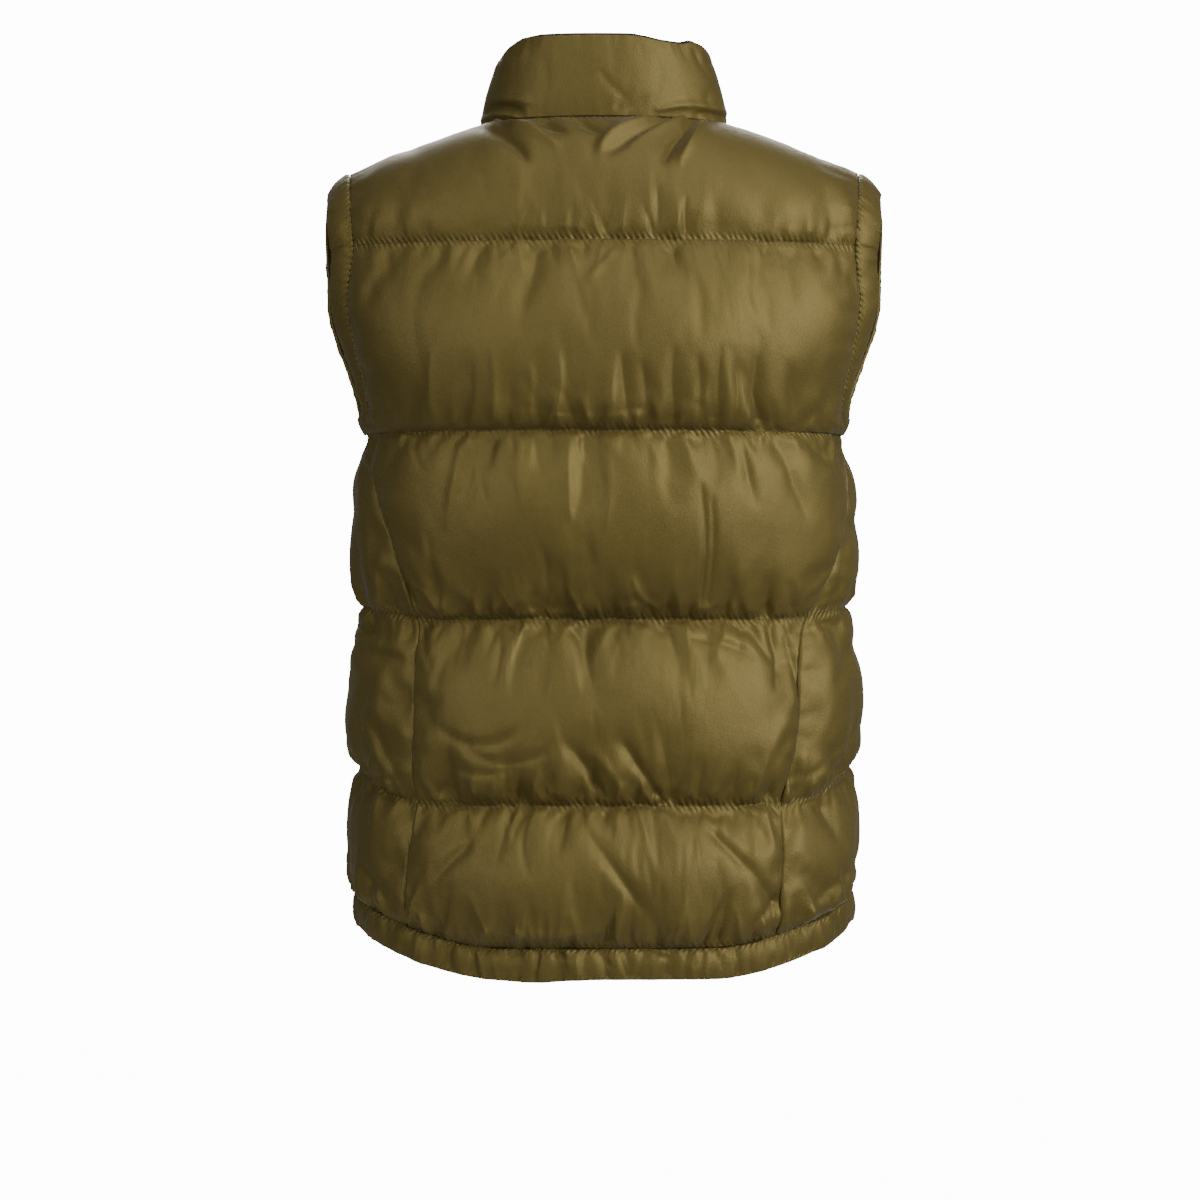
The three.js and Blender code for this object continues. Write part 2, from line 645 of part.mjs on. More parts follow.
// Slider: two plates joined by a web between the tapes, with a bail in front; y is out of the vest
const plateInner = zip.tapeThickness / 2 + slider.clearance;
const plateOuter = plateInner + slider.plate;
const bailY = plateOuter + bail.holeDepth / 2;
function sliderGeometry() {
  const { halfWidth, webHalf, height, edge, bevel } = slider;
  const profile = polygon([
    [-halfWidth, plateInner], [-halfWidth, plateOuter - edge], [-halfWidth + bevel, plateOuter],
    [halfWidth - bevel, plateOuter], [halfWidth, plateOuter - edge], [halfWidth, plateInner],
    [webHalf, plateInner], [webHalf, -plateInner], [halfWidth, -plateInner], [halfWidth, -plateOuter],
    [-halfWidth, -plateOuter], [-halfWidth, -plateInner], [-webHalf, -plateInner], [-webHalf, plateInner],
  ]);
  const body = extruded(profile, height).translate(0, 0, -height / 2);
  const { holeHalf, corner, shoulder } = bail;
  const reach = holeHalf + bail.thickness;
  const top = plateOuter + bail.holeDepth + bail.thickness;
  const root = plateOuter - bail.root;
  const holeTop = top - bail.thickness;
  const arch = polygon([
    [root, -reach], [top - corner, -reach], [top, -reach + shoulder],
    [top, reach - shoulder], [top - corner, reach], [root, reach],
    [root, holeHalf], [holeTop, holeHalf], [holeTop, -holeHalf], [root, -holeHalf],
  ]);
  const loop = extruded(arch, 2 * bail.halfWidth).translate(0, 0, -bail.halfWidth);
  loop.applyMatrix4(new THREE.Matrix4().makeBasis(
    new THREE.Vector3(0, 1, 0), new THREE.Vector3(0, 0, 1), new THREE.Vector3(1, 0, 0)));
  return geometryOf(solidOf(body).add(solidOf(loop)));
}

// Pull tab: a bar under the bail, two arms and a long rounded tab
function pullGeometry() {
  const { barHalf, slotHalf, slotLength, topHalf, endHalf, length, thickness, corner } = pull;
  const armFoot = -slotLength - pull.armEnd;
  const tabTop = -slotLength - pull.tabStart;
  const outline = new THREE.Shape();
  outline.moveTo(-topHalf + corner, barHalf);
  outline.lineTo(topHalf - corner, barHalf);
  outline.lineTo(topHalf, barHalf - corner);
  outline.lineTo(topHalf, armFoot);
  outline.lineTo(endHalf, tabTop);
  outline.absarc(0, -length + endHalf, endHalf, 0, -Math.PI, true);
  outline.lineTo(-endHalf, tabTop);
  outline.lineTo(-topHalf, armFoot);
  outline.lineTo(-topHalf, barHalf - corner);
  const slot = polygon([
    [-slotHalf, -slotLength], [slotHalf, -slotLength], [slotHalf, -barHalf], [-slotHalf, -barHalf],
  ]);
  outline.holes.push(slot);
  const geometry = extruded(outline, thickness).translate(0, 0, -thickness / 2);
  return geometry.rotateX(Math.PI / 2);
}

// Finishes of the pieces
const cloth = { color: 0x665a2e, roughness: 0.45, metalness: 0 };
const finishes = {
  back_panel: cloth,
  front_left: { ...cloth, color: 0x61552b },
  front_right: { ...cloth, color: 0x61552b },
  collar: { ...cloth, color: 0x6a5e31 },
  collar_lining: { color: 0x2c2a2f, roughness: 0.6, metalness: 0 },
  armhole_band_left: { ...cloth, color: 0x5c5129 },
  armhole_band_right: { ...cloth, color: 0x5c5129 },
  hem_band: { ...cloth, color: 0x5c5129 },
  zip_tape_left: { color: 0x3d371d, roughness: 0.8, metalness: 0 },
  zip_tape_right: { color: 0x3d371d, roughness: 0.8, metalness: 0 },
  zip_chain: { color: 0x4a4426, roughness: 0.4, metalness: 0 },
  zip_slider: { color: 0x5a5648, roughness: 0.35, metalness: 0.9 },
  zip_pull: { color: 0x5a5648, roughness: 0.35, metalness: 0.9 },
};

const group = new THREE.Group();
function piece(name, geometry, parent = group) {
  const mesh = new THREE.Mesh(geometry, new THREE.MeshStandardMaterial(finishes[name]));
  mesh.name = name;
  parent.add(mesh);
}

const panelWall = (panel) => closedWall(panel.outer, panel.plainRows.map((i) => panel.inner[i]), {
  innerRows: panel.plainRows,
});
piece('back_panel', panelWall(backPanel));
piece('front_left', panelWall(fronts.left));
piece('front_right', panelWall(fronts.right));
piece('collar', closedWall(collarGrids.outer, collarGrids.inner));
const liner = liningGrids();
piece('collar_lining', closedWall(liner.outer, liner.inner));
piece('hem_band', closedWall(hemGrids.outer, hemRows.map((i) => hemGrids.inner[i]), { innerRows: hemRows }));
for (const side of [1, -1]) {
  const grids = armBandGrids(side);
  piece(`armhole_band_${sideNames[side]}`, closedWall(grids.outer, grids.inner, { looped: true }));
}

// Zip: the tapes run the whole way, and the chain ends under the slider
const line = zipLine();
const topOfZip = line[0].point;
const underTop = line[2].point;
const zipWay = underTop.clone().sub(topOfZip).normalize();
const sliderPlace = topOfZip.clone().addScaledVector(zipWay, slider.drop + slider.height / 2);
const chainTop = topOfZip.clone().addScaledVector(zipWay, slider.drop + slider.height + seamGap);
const chainLine = [{ point: chainTop, normal: line[0].normal }, ...line.slice(2)];
piece('zip_tape_left', zipBar(line, zip.tapeInner, zip.tapeOuter, zip.tapeThickness));
piece('zip_tape_right', zipBar(line, -zip.tapeOuter, -zip.tapeInner, zip.tapeThickness));
piece('zip_chain', zipBar(chainLine, -zip.chainHalf, zip.chainHalf, zip.chainThickness));

// The slider's group: its z runs up the zip and its y out of the vest
const upZip = zipWay.clone().negate();
const acrossZip = new THREE.Vector3(-1, 0, 0);
const outOfZip = upZip.clone().cross(acrossZip);
const sliderFrame = new THREE.Group();
sliderFrame.applyMatrix4(new THREE.Matrix4().makeBasis(acrossZip, outOfZip, upZip).setPosition(sliderPlace));
group.add(sliderFrame);
piece('zip_slider', sliderGeometry(), sliderFrame);
const pullFrame = new THREE.Group();
pullFrame.position.set(0, bailY, 0);
sliderFrame.add(pullFrame);
piece('zip_pull', pullGeometry(), pullFrame);

export default group;
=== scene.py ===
import math
import bpy
import numpy as np
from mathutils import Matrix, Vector


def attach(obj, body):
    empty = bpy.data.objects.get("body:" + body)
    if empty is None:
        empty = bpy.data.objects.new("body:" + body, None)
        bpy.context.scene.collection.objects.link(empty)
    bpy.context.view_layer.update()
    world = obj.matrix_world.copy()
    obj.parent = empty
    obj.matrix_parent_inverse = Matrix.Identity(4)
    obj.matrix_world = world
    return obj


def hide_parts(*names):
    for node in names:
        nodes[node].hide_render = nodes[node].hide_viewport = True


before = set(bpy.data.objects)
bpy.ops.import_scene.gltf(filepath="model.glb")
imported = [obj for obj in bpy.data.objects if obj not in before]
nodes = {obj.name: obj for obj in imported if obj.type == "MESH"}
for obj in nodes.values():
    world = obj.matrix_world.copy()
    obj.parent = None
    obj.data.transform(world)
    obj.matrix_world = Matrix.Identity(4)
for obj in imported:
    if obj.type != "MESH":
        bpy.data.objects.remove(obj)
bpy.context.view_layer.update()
print("frame loaded:", len(nodes), "pieces")

# Lengths are millimetres until a mesh is made; x is the wearer's left, y the back, z up
mm = 0.001

cloth = {"wall": 2.4, "seamGap": 0.36, "seamRadius": 150, "seamClosed": 0.62, "roundness": 2.35,
         "least": 0.25}
neck = {"halfWidth": 96, "back": 62, "front": 88, "height": -4, "frontDrop": 58, "dropPower": 1.7}
shoulderTip = {"x": 203, "y": -4, "z": -43}
armhole = {"middle": -146, "middleY": 6, "halfHeight": 105, "back": 62, "front": -52, "squareness": 2.3}
neckShare = {"back": 0.6, "front": 0.52}
zipGap = 7

# How fine the panels are: columns beside the neck, columns on a shoulder, rows a channel
fineness = {"backNeck": 84, "backShoulder": 56, "frontNeck": 96, "frontShoulder": 88,
            "rows": [52, 64, 64, 64, 50], "crowding": 0.55, "innerStep": 7, "bandStep": 2, "whole": 40}


def table(columns, rows):
    return {name: np.array([row[k] for row in rows]) for k, name in enumerate(columns)}


sections = table(["at", "half", "back", "front"], [
    [-60, 222, 92, 92], [-104, 223, 104, 101], [-147, 224, 113, 109], [-180, 215, 117, 113],
    [-215, 200, 118, 115], [-251, 187.5, 117, 115], [-290, 189.5, 110, 112], [-340, 192, 102, 107],
    [-397, 190.5, 97, 102], [-470, 194.5, 100, 102], [-541, 191.5, 107, 104], [-600, 194, 113, 107],
    [-660, 194, 115, 108]])

sideSeams = table(["at", "left", "right"], [
    [-251, 84.5, 86.5], [-285, 75, 83], [-320, 69.5, 78.5], [-360, 66, 73.5], [-397, 64, 68.5],
    [-430, 63, 65], [-487, 62, 62.5], [-541, 61.5, 58.8], [-600, 61.3, 56], [-650, 61.2, 55.4]])

# Heights of each stitch line at the back, side and front, and the angles between which it climbs
stitchLines = [
    {"back": -104, "side": -118, "front": -118, "from": 80, "to": 95},
    {"back": -251, "side": -251, "front": -251, "from": 60, "to": 90},
    {"back": -397, "side": -387, "front": -388, "from": 55, "to": 90},
    {"back": -541, "side": -513, "front": -514, "from": 57, "to": 92},
    {"back": -650, "side": -612, "front": -610, "from": 38, "to": 95},
]

# The angles between which the back turns into the side, and the side into the front
turning = {"toSide": (20, 85), "toFront": (95, 150), "lines": (90, 150)}
yokeRoll = {"atNeck": 0.5, "from": 0.2, "past": 0.1}

# How far each channel's filling stands out, and how steeply it falls to the line below
channels = [
    {"back": 8, "side": 5, "front": 7, "lower": 3.4},
    {"back": 15, "side": 8, "front": 12, "lower": 6},
    {"back": 16.5, "side": 8, "front": 12.5, "lower": 4.4},
    {"back": 17, "side": 8.5, "front": 12.5, "lower": 3.6},
    {"back": 15, "side": 7.5, "front": 12, "lower": 3.4},
]


def mixed(a, b, t):
    return a + (b - a) * t


def smooth(value, low=0.0, high=1.0):
    t = np.clip((value - low) / (high - low), 0, 1)
    return t * t * (3 - 2 * t)


def along(rows, column, at):
    # Smooth value of a table's column between its rows
    places, values = rows["at"].astype(float), rows[column].astype(float)
    at = np.asarray(at, float)
    if places[1] < places[0]:
        places, at = -places, -at
    slopes = np.gradient(values, places)
    slopes[1:-1] = (values[2:] - values[:-2]) / (places[2:] - places[:-2])
    k = np.clip(np.searchsorted(places, at, side="right") - 1, 0, len(places) - 2)
    span = places[k + 1] - places[k]
    t = np.clip((at - places[k]) / span, 0, 1)
    ease = t * t * (3 - 2 * t)
    leave = slopes[k] * span * t * (1 - t) ** 2
    arrive = slopes[k + 1] * span * t * t * (1 - t)
    return mixed(values[k], values[k + 1], ease) + leave - arrive


def bodyPoints(angle, z):
    # Points on the body, by the angle from the middle of the back and the height
    z = z + 0 * angle
    across, deep = np.sin(np.radians(angle)), np.cos(np.radians(angle))
    depth = np.where(deep >= 0, along(sections, "back", z), along(sections, "front", z))
    power = cloth["roundness"]
    sideways, inwards = np.abs(across) / along(sections, "half", z), np.abs(deep) / depth
    reach = (sideways ** power + inwards ** power) ** (-1 / power)
    return np.stack([reach * across, reach * deep, z], axis=-1)


def angleAtDepth(y, z):
    depth = along(sections, "back" if y >= 0 else "front", z)
    power = cloth["roundness"]
    x = along(sections, "half", z) * max(0.0, 1 - (abs(y) / depth) ** power) ** (1 / power)
    return math.degrees(math.atan2(x, y))


def lineHeight(line, angle):
    spot = stitchLines[line]
    turn = np.abs(angle)
    climbed = mixed(spot["back"], spot["side"], smooth(turn, spot["from"], spot["to"]))
    return mixed(climbed, spot["front"], smooth(turn, *turning["lines"]))


def edgeAngle(face, side, channel, t):
    sideName = "left" if side > 0 else "right"
    upper, lower = stitchLines[channel - 1], stitchLines[channel]
    if channel > 1:
        return float(along(sideSeams, sideName, mixed(upper["back"], lower["back"], t)))
    z = mixed(upper[face], lower[face], t)
    low = bodyPoints(np.array([sideSeams[sideName][0]]), float(sideSeams["at"][0]))[0][1]
    level = min(1.0, abs((z - armhole["middle"]) / armhole["halfHeight"]))
    power = armhole["squareness"]
    opened = (1 - level ** power) ** (1 / power)
    return angleAtDepth(mixed(low, armhole[face], opened), z)


placeSteps = np.linspace(0, 1, 400)
spreadSteps = 0.5 * placeSteps + 0.5 * np.sin(placeSteps * math.pi / 2)


def topPoints(face, side, shares):
    # The neck edge and then the shoulder edge
    part = neckShare[face]
    sign = 1 if face == "back" else -1
    start = 0 if face == "back" else math.asin(zipGap / neck["halfWidth"])
    turn = mixed(start, math.pi / 2, np.interp(np.minimum(shares / part, 1), spreadSteps, placeSteps))
    cosine = np.clip(np.cos(turn), 0, 1)
    drop = 0 * turn if face == "back" else neck["frontDrop"] * cosine ** neck["dropPower"]
    onNeck = np.stack([side * neck["halfWidth"] * np.sin(turn), sign * neck[face] * cosine,
                       neck["height"] - drop], axis=-1)
    rest = (shares - part) / (1 - part)
    onShoulder = np.stack([side * mixed(neck["halfWidth"], shoulderTip["x"], rest),
                           shoulderTip["y"] * rest + cloth["seamGap"] / 2 * sign,
                           mixed(neck["height"], shoulderTip["z"], rest)], axis=-1)
    return np.where((shares <= part + 1e-9)[:, None], onNeck, onShoulder)


def rowPoints(face, side, shares, channel, t):
    # One row of a panel's middle surface
    if channel == 0:
        foot = rowPoints(face, side, shares, 1, 0.0)
        top = topPoints(face, side, shares)
        turn = (1 - t) * math.pi / 2
        rolled = smooth(shares, yokeRoll["from"], neckShare[face] + yokeRoll["past"])
        roll = mixed(yokeRoll["atNeck"], 1, rolled)
        climb, lean = mixed(1 - t, math.sin(turn), roll), mixed(t, math.cos(turn), roll)
        return np.stack([mixed(foot[:, 0], top[:, 0], 1 - t), mixed(top[:, 1], foot[:, 1], lean),
                         mixed(foot[:, 2], top[:, 2], climb)], axis=-1)
    edge = edgeAngle(face, side, channel, t)
    rough = mixed(stitchLines[channel - 1][face], stitchLines[channel][face], t)
    zipAngle = 180 - math.degrees(math.asin(zipGap / float(along(sections, "front", rough))))
    seamed = channel > 1 or t == 1
    clear = math.degrees(cloth["seamGap"] / 2 / cloth["seamRadius"]) if seamed else 0
    angle = shares * (edge - clear) if face == "back" else mixed(zipAngle, edge + clear, shares)
    z = mixed(lineHeight(channel - 1, angle), lineHeight(channel, angle), t)
    return bodyPoints(side * angle, z)


def unit(v):
    return v / np.maximum(np.linalg.norm(v, axis=-1, keepdims=True), 1e-12)


def gridNormals(points, outward):
    down = np.gradient(points, axis=0)
    across = np.gradient(points, axis=1)
    return unit(np.cross(down, across)) * outward


def crowded(count):
    # Steps of 0 to 1 that stand closer at both ends
    even = np.linspace(0, 1, count + 1)
    return even - fineness["crowding"] * np.sin(2 * math.pi * even) / (2 * math.pi)


# Puckers along each stitch line: small ones at each stitch, longer ones, the largest, and raised crests
puckers = {
    "small": {"spacing": 6.4, "jitter": 2.6, "reach": (7, 18), "slant": 0.5, "width": (1.3, 2.2),
              "depth": (0.8, 2.2), "onLine": 1.0, "onShoulder": 0.12},
    "middle": {"spacing": 13, "jitter": 6, "reach": (18, 48), "slant": 0.35, "width": (2.4, 4.4),
               "depth": (1.8, 4.6), "onLine": 1.0, "onShoulder": 0.4},
    "large": {"spacing": 40, "jitter": 19, "reach": (42, 90), "slant": 0.3, "width": (4.5, 8),
              "depth": (2.0, 4.4), "onLine": 1.0, "onShoulder": 0.3},
    "crest": {"spacing": 15, "jitter": 8, "reach": (16, 38), "slant": 0.5, "width": (1.8, 2.6),
              "depth": (1.8, 4.2), "ridges": 0.85},
    "below": {"strength": 1.0, "ridges": 0.4}, "above": {"strength": 1.65, "ridges": 0.58},
    "seed": 41, "bend": 0.004, "ridgeHeight": 0.75, "widening": 0.7, "sharpness": 1.35,
}
gatherKinds = ("small", "middle", "large")

# A stitch's own pucker leans with its distance from the line, up to a limit
stitchLean = {"share": 0.55, "limit": 12}


def puckerSpots(random, kind, low, high, strength=1.0, ridges=0.4):
    size = puckers[kind]
    count = int((high - low) / size["spacing"])
    place = low + (np.arange(count) + 0.5) * size["spacing"] + random.uniform(-1, 1, count) * size["jitter"]
    pick = lambda name: random.uniform(*size[name], count)
    ridge = random.uniform(0, 1, count) < ridges
    depth = pick("depth") * strength * np.where(ridge, -puckers["ridgeHeight"], 1)
    return np.stack([place, pick("reach"), random.uniform(-1, 1, count) * size["slant"],
                     random.uniform(-1, 1, count) * puckers["bend"], pick("width"), depth], axis=-1)


def puckerRelief(spots, arc, away):
    relief = np.zeros_like(arc)
    for place, reach, slant, bend, width, depth in spots:
        near = np.clip(1 - away / reach, 0, 1)
        wide = width * (1 + puckers["widening"] * away / reach)
        shift = (arc - place - slant * away - bend * away ** 2) / wide
        relief -= depth * near * np.exp(-np.abs(shift) ** puckers["sharpness"])
    return relief


def creaseTable(rows):
    return table(["x1", "z1", "x2", "z2", "x3", "z3", "width", "depth"], rows)


# Creases of the photograph, as seen from behind on the plane through the shoulders: through three points
eye = {"x": 3.2, "z": -382, "distance": 3000}
backCreases = creaseTable([
    [3, -25, -13, -9, -42, 2, 4.5, 4.6], [-3, -29, -26, -14, -53, 0, 3.4, -4.6],
    [-21, -19, -42, -9, -66, 2, 5, 4], [-47, -36, -58, -18, -77, 3, 4.2, -5],
    [-60, -36, -70, -20, -80, -2, 4.6, 3.6], [94, -8, 75, -19, 62, -34, 5.4, -4.6],
    [73, -8, 54, -12, 38, -22, 5, 3], [54, -3, 44, -7, 32, -12, 4, -3.4],
    [27, 1, 17, -4, 6, -11, 4, -3.4], [88, 0, 70, -8, 50, -14, 4.4, 2.8],
    [-42, -60, -43, -76, -41, -95, 3.5, -1.5], [-65, -66, -64, -80, -66, -95, 3.5, -1.7],
    [-87, -64, -88, -80, -86, -95, 3.5, -1.6], [-106, -70, -105, -82, -108, -95, 3.5, -1.4],
    [22, -72, 24, -84, 22, -95, 4, -1.0], [-13, -98, -2, -112, 11, -128, 4.5, 1.6],
    [-52, -98, -50, -110, -44, -124, 4, -1.2], [131, -186, 133, -215, 130, -243, 6, 1.6],
    [86, -180, 84, -212, 87, -243, 5.5, 1.6], [57, -196, 56, -220, 58, -243, 5, 1.5],
    [35, -190, 34, -218, 37, -243, 5, 1.5], [-14, -190, -16, -215, -20, -244, 6, -2.2],
    [-30, -196, -33, -220, -32, -244, 6, -2.2], [-54, -186, -53, -214, -57, -244, 5, -2],
    [-72, -192, -74, -216, -71, -244, 5, -2], [-89, -184, -88, -212, -91, -244, 5, -2.2],
    [-101, -196, -103, -222, -100, -244, 4.5, -1.9], [-118, -190, -117, -216, -121, -244, 5, -2],
    [-143, -196, -147, -220, -150, -244, 7, -2.4], [60, -229, 20, -233, -30, -229, 5, -0.9],
    [113, -266, 114, -290, 118, -320, 3.5, 1.4], [98, -274, 98, -288, 102, -304, 3, 1.2],
    [64, -252, 66, -275, 62, -306, 6, 1.6], [27, -252, 28, -276, 26, -312, 5, 1.5],
    [-3, -252, -5, -280, -2, -318, 6, 1.5], [-74, -290, -76, -336, -75, -384, 3, -1.6],
    [-81, -300, -82, -340, -80, -384, 3, -1.4], [-137, -252, -142, -280, -153, -312, 7, -3],
    [-157, -252, -164, -262, -178, -276, 6, -2.6], [-108, -252, -109, -275, -113, -302, 5.5, -2.2],
    [-22, -362, -29, -378, -41, -388, 4, 1.8], [46, -340, 44, -362, 47, -390, 6, -1.8],
    [132, -330, 130, -360, 134, -390, 7, -2], [123, -486, 92, -498, 66, -488, 4.5, -2.2],
    [104, -500, 78, -512, 47, -506, 4.5, -2.2], [118, -512, 96, -520, 70, -518, 4, -1.6],
    [27, -500, 14, -516, -1, -540, 6.5, -4.2], [-15, -498, -30, -520, -49, -546, 6.5, -4.2],
    [6, -508, -6, -522, -20, -544, 6, 1.6], [-129, -402, -134, -426, -130, -452, 5, -2.8],
    [-141, -400, -147, -428, -150, -458, 5, -2.8], [-120, -404, -122, -420, -136, -440, 4, -1.8],
    [-69, -414, -90, -418, -113, -428, 4.5, -2], [84, -402, 80, -424, 84, -452, 6, -2],
    [12, -402, 14, -420, 10, -446, 6, -1.8], [11, -574, -8, -600, -29, -628, 6, -3],
    [-81, -568, -94, -582, -114, -602, 5.5, -2.8], [126, -604, 116, -592, 103, -580, 5, -2.4],
    [-116, -606, -130, -620, -150, -636, 5, -2.6], [-148, -606, -136, -618, -118, -638, 4.5, -2.2],
    [104, -645, 60, -650, 2, -647, 6, 2.2], [60, -560, 62, -584, 56, -604, 6, -2],
    [60, -122, 64, -150, 60, -180, 16, -1.2], [-120, -120, -128, -150, -124, -182, 14, -1.4],
    [140, -120, 146, -150, 142, -186, 13, -1.4],
])
sideCreases = creaseTable([
    [202, -392, 188, -404, 172, -412, 7, -5], [198, -412, 184, -424, 160, -430, 6, -3.5],
    [200, -420, 178, -480, 152, -540, 8, -3.5], [206, -512, 190, -520, 160, -526, 6, -4],
    [198, -572, 178, -606, 152, -642, 8, -4], [194, -452, 186, -480, 178, -506, 5, -2.5],
    [-200, -400, -190, -424, -178, -448, 7, -3.5], [-202, -470, -184, -496, -158, -522, 8, -3.5],
    [-204, -580, -186, -600, -160, -626, 7, -3.5], [-200, -300, -188, -330, -180, -366, 7, -3],
    [198, -290, 190, -318, 186, -352, 6, -3],
])
frontCreases = creaseTable([
    [60, -300, 78, -332, 96, -372, 7, -3], [-52, -296, -66, -330, -90, -376, 7, -3],
    [-70, -520, -84, -546, -98, -582, 7, -3], [84, -524, 74, -556, 58, -592, 7, -3],
    [-112, -150, -100, -184, -84, -228, 7, -3], [106, -160, 102, -196, 92, -236, 7, -3],
    [40, -150, 34, -184, 42, -236, 5, -2.2], [-36, -400, -44, -440, -38, -500, 6, -2.4],
    [120, -402, 112, -436, 120, -480, 6, -2.6], [-124, -404, -120, -450, -128, -500, 6, -2.4],
    [24, -262, 30, -290, 22, -330, 5, -2], [-20, -560, -30, -584, -22, -606, 5, -2.2],
    [132, -270, 140, -306, 134, -350, 6, -2.4], [-140, -268, -132, -300, -140, -352, 6, -2.4],
    [62, -20, 76, -50, 84, -100, 6, -1.8], [-64, -22, -78, -54, -84, -104, 6, -1.8],
    [126, -36, 120, -66, 124, -108, 5, -1.6], [-128, -38, -120, -70, -126, -110, 5, -1.6],
])
hemCreases = creaseTable([
    [54, -648, 52, -664, 55, -684, 1.8, -3.2], [62, -652, 68, -662, 78, -668, 3, -2.2],
    [46, -652, 40, -662, 28, -668, 3, -2.2], [-20, -652, -34, -662, -50, -668, 4, -2],
    [112, -640, 100, -654, 84, -664, 4, -2.2], [-110, -636, -98, -650, -86, -662, 4, -2.2],
    [152, -626, 140, -640, 128, -650, 4, -2.4], [12, -655, 4, -665, -6, -676, 4, -1.8],
    [-150, -622, -140, -636, -130, -646, 4, -2.2], [-70, -650, -78, -660, -76, -674, 3, -1.8],
])
collarCreases = creaseTable([
    [91, 7, 81, 12, 65, 9, 3, -3.6], [83, 16, 70, 18, 57, 16, 4, 2], [93, 2, 81, 6, 67, 4, 3, 2.4],
    [3, 40, -5, 30, -15, 21, 3.5, -1.3], [-20, 9, -26, 14, -34, 20, 3, -1.5],
    [-8, 10, -12, 15, -18, 22, 3, -1.2], [-42, 10, -74, 13, -98, 3, 3.5, 3],
    [-74, 7, -91, 5, -98, 0, 2.5, -3], [-70, 58, -74, 48, -82, 34, 4, -1.6],
    [62, 60, 68, 50, 84, 44, 5, 1.4], [50, 52, 44, 40, 46, 24, 6, -0.9], [-40, 50, -44, 38, -40, 24, 6, -0.9],
    [20, 50, 16, 38, 22, 26, 7, -0.8], [-86, 30, -80, 20, -84, 10, 4, -1.2],
])
collarFrontCreases = creaseTable([
    [40, 6, 46, -14, 38, -34, 5, -1.3], [-46, 8, -40, -12, -48, -30, 5, -1.3],
    [70, 22, 66, 4, 74, -12, 5, -1.4], [-72, 24, -76, 6, -70, -12, 5, -1.4],
    [22, -6, 26, -24, 20, -44, 4, -1.0], [-20, -8, -26, -26, -22, -44, 4, -1.0],
])
creasing = {"steps": 9, "reach": 3, "wide": 0.9, "sharpness": 1.3, "ends": 0.06, "boldness": 1.5,
            "fullAt": 10, "yokeFullAt": 1.5}


def bent(a, b, c, steps):
    return (1 - steps) ** 2 * a + 2 * steps * (1 - steps) * (2 * b - (a + c) / 2) + steps ** 2 * c


def creaseRelief(creases, x, z):
    relief = np.zeros_like(x)
    steps = np.linspace(0, 1, creasing["steps"])
    for x1, z1, x2, z2, x3, z3, width, depth in zip(*creases.values()):
        lineX, lineZ = bent(x1, x2, x3, steps), bent(z1, z2, z3, steps)
        reach = creasing["reach"] * width
        near = ((x > lineX.min() - reach) & (x < lineX.max() + reach)
                & (z > lineZ.min() - reach) & (z < lineZ.max() + reach))
        px, pz = x[near], z[near]
        away = np.full(px.shape, 1e9)
        place = np.zeros(px.shape)
        for n in range(len(steps) - 1):
            dx, dz = lineX[n + 1] - lineX[n], lineZ[n + 1] - lineZ[n]
            part = np.clip(((px - lineX[n]) * dx + (pz - lineZ[n]) * dz) / (dx * dx + dz * dz), 0, 1)
            gap = np.hypot(px - lineX[n] - part * dx, pz - lineZ[n] - part * dz)
            closer = gap < away
            away = np.where(closer, gap, away)
            place = np.where(closer, (n + part) / (len(steps) - 1), place)
        ends = creasing["ends"]
        taper = np.sqrt(np.clip(np.sin(math.pi * (ends + (1 - 2 * ends) * place)), 0, 1))
        wide = creasing["wide"] * width * (0.6 + 0.4 * taper)
        relief[near] += depth * taper * np.exp(-(away / wide) ** creasing["sharpness"])
    return relief


def asSeen(creases, place):
    # Creases given as they are seen from behind
    scale = eye["distance"] / (eye["distance"] - place[..., 1])
    seenX = eye["x"] + (place[..., 0] - eye["x"]) * scale
    return creaseRelief(creases, seenX, eye["z"] + (place[..., 2] - eye["z"]) * scale)


def panelGrid(face, side=0):
    # Middle surface of a quilted panel, with each row's channel and place
    rows = [(channel, t) for channel, count in enumerate(fineness["rows"])
            for t in crowded(count)[0 if channel == 0 else 1:]]
    part = neckShare[face]
    inner = part * np.interp(np.linspace(0, 1, fineness[face + "Neck"] + 1), placeSteps, spreadSteps)
    outer = mixed(part, 1, np.linspace(0, 1, fineness[face + "Shoulder"] + 1)[1:])
    shares = np.concatenate([inner, outer])
    grid = []
    for channel, t in rows:
        t = 1.0 if t > 0.9999 else float(t)
        if face == "back":
            right = rowPoints(face, -1, shares[1:][::-1], channel, t)
            grid.append(np.concatenate([right, rowPoints(face, 1, shares, channel, t)]))
        else:
            grid.append(rowPoints(face, side, shares, channel, t))
    base = np.array(grid)
    middle = (base.shape[0] // 2, base.shape[1] // 2)
    trial = gridNormals(base, 1)[middle]
    outward = math.copysign(1, trial[0] * base[middle][0] + trial[1] * base[middle][1])
    normals = gridNormals(base, outward)
    onShoulder = np.abs(base[0, :, 0]) > neck["halfWidth"] - 0.01
    normals[0, onShoulder, 1] = 0
    normals[0] = unit(normals[0])
    return {"face": face, "side": side, "base": base, "normals": normals, "outward": outward,
            "channel": np.array([c for c, t in rows]), "t": np.array([t for c, t in rows])}


pinch = {"armhole": 0.16, "zip": 0.2, "reach": 13, "sideSeam": 0.92, "sideReach": 4, "power": 1.4,
         "armholeEnds": (1.8, 2.1)}


def belowArmholes(grid):
    return smooth(grid["channel"] + grid["t"], *pinch["armholeEnds"])[:, None]


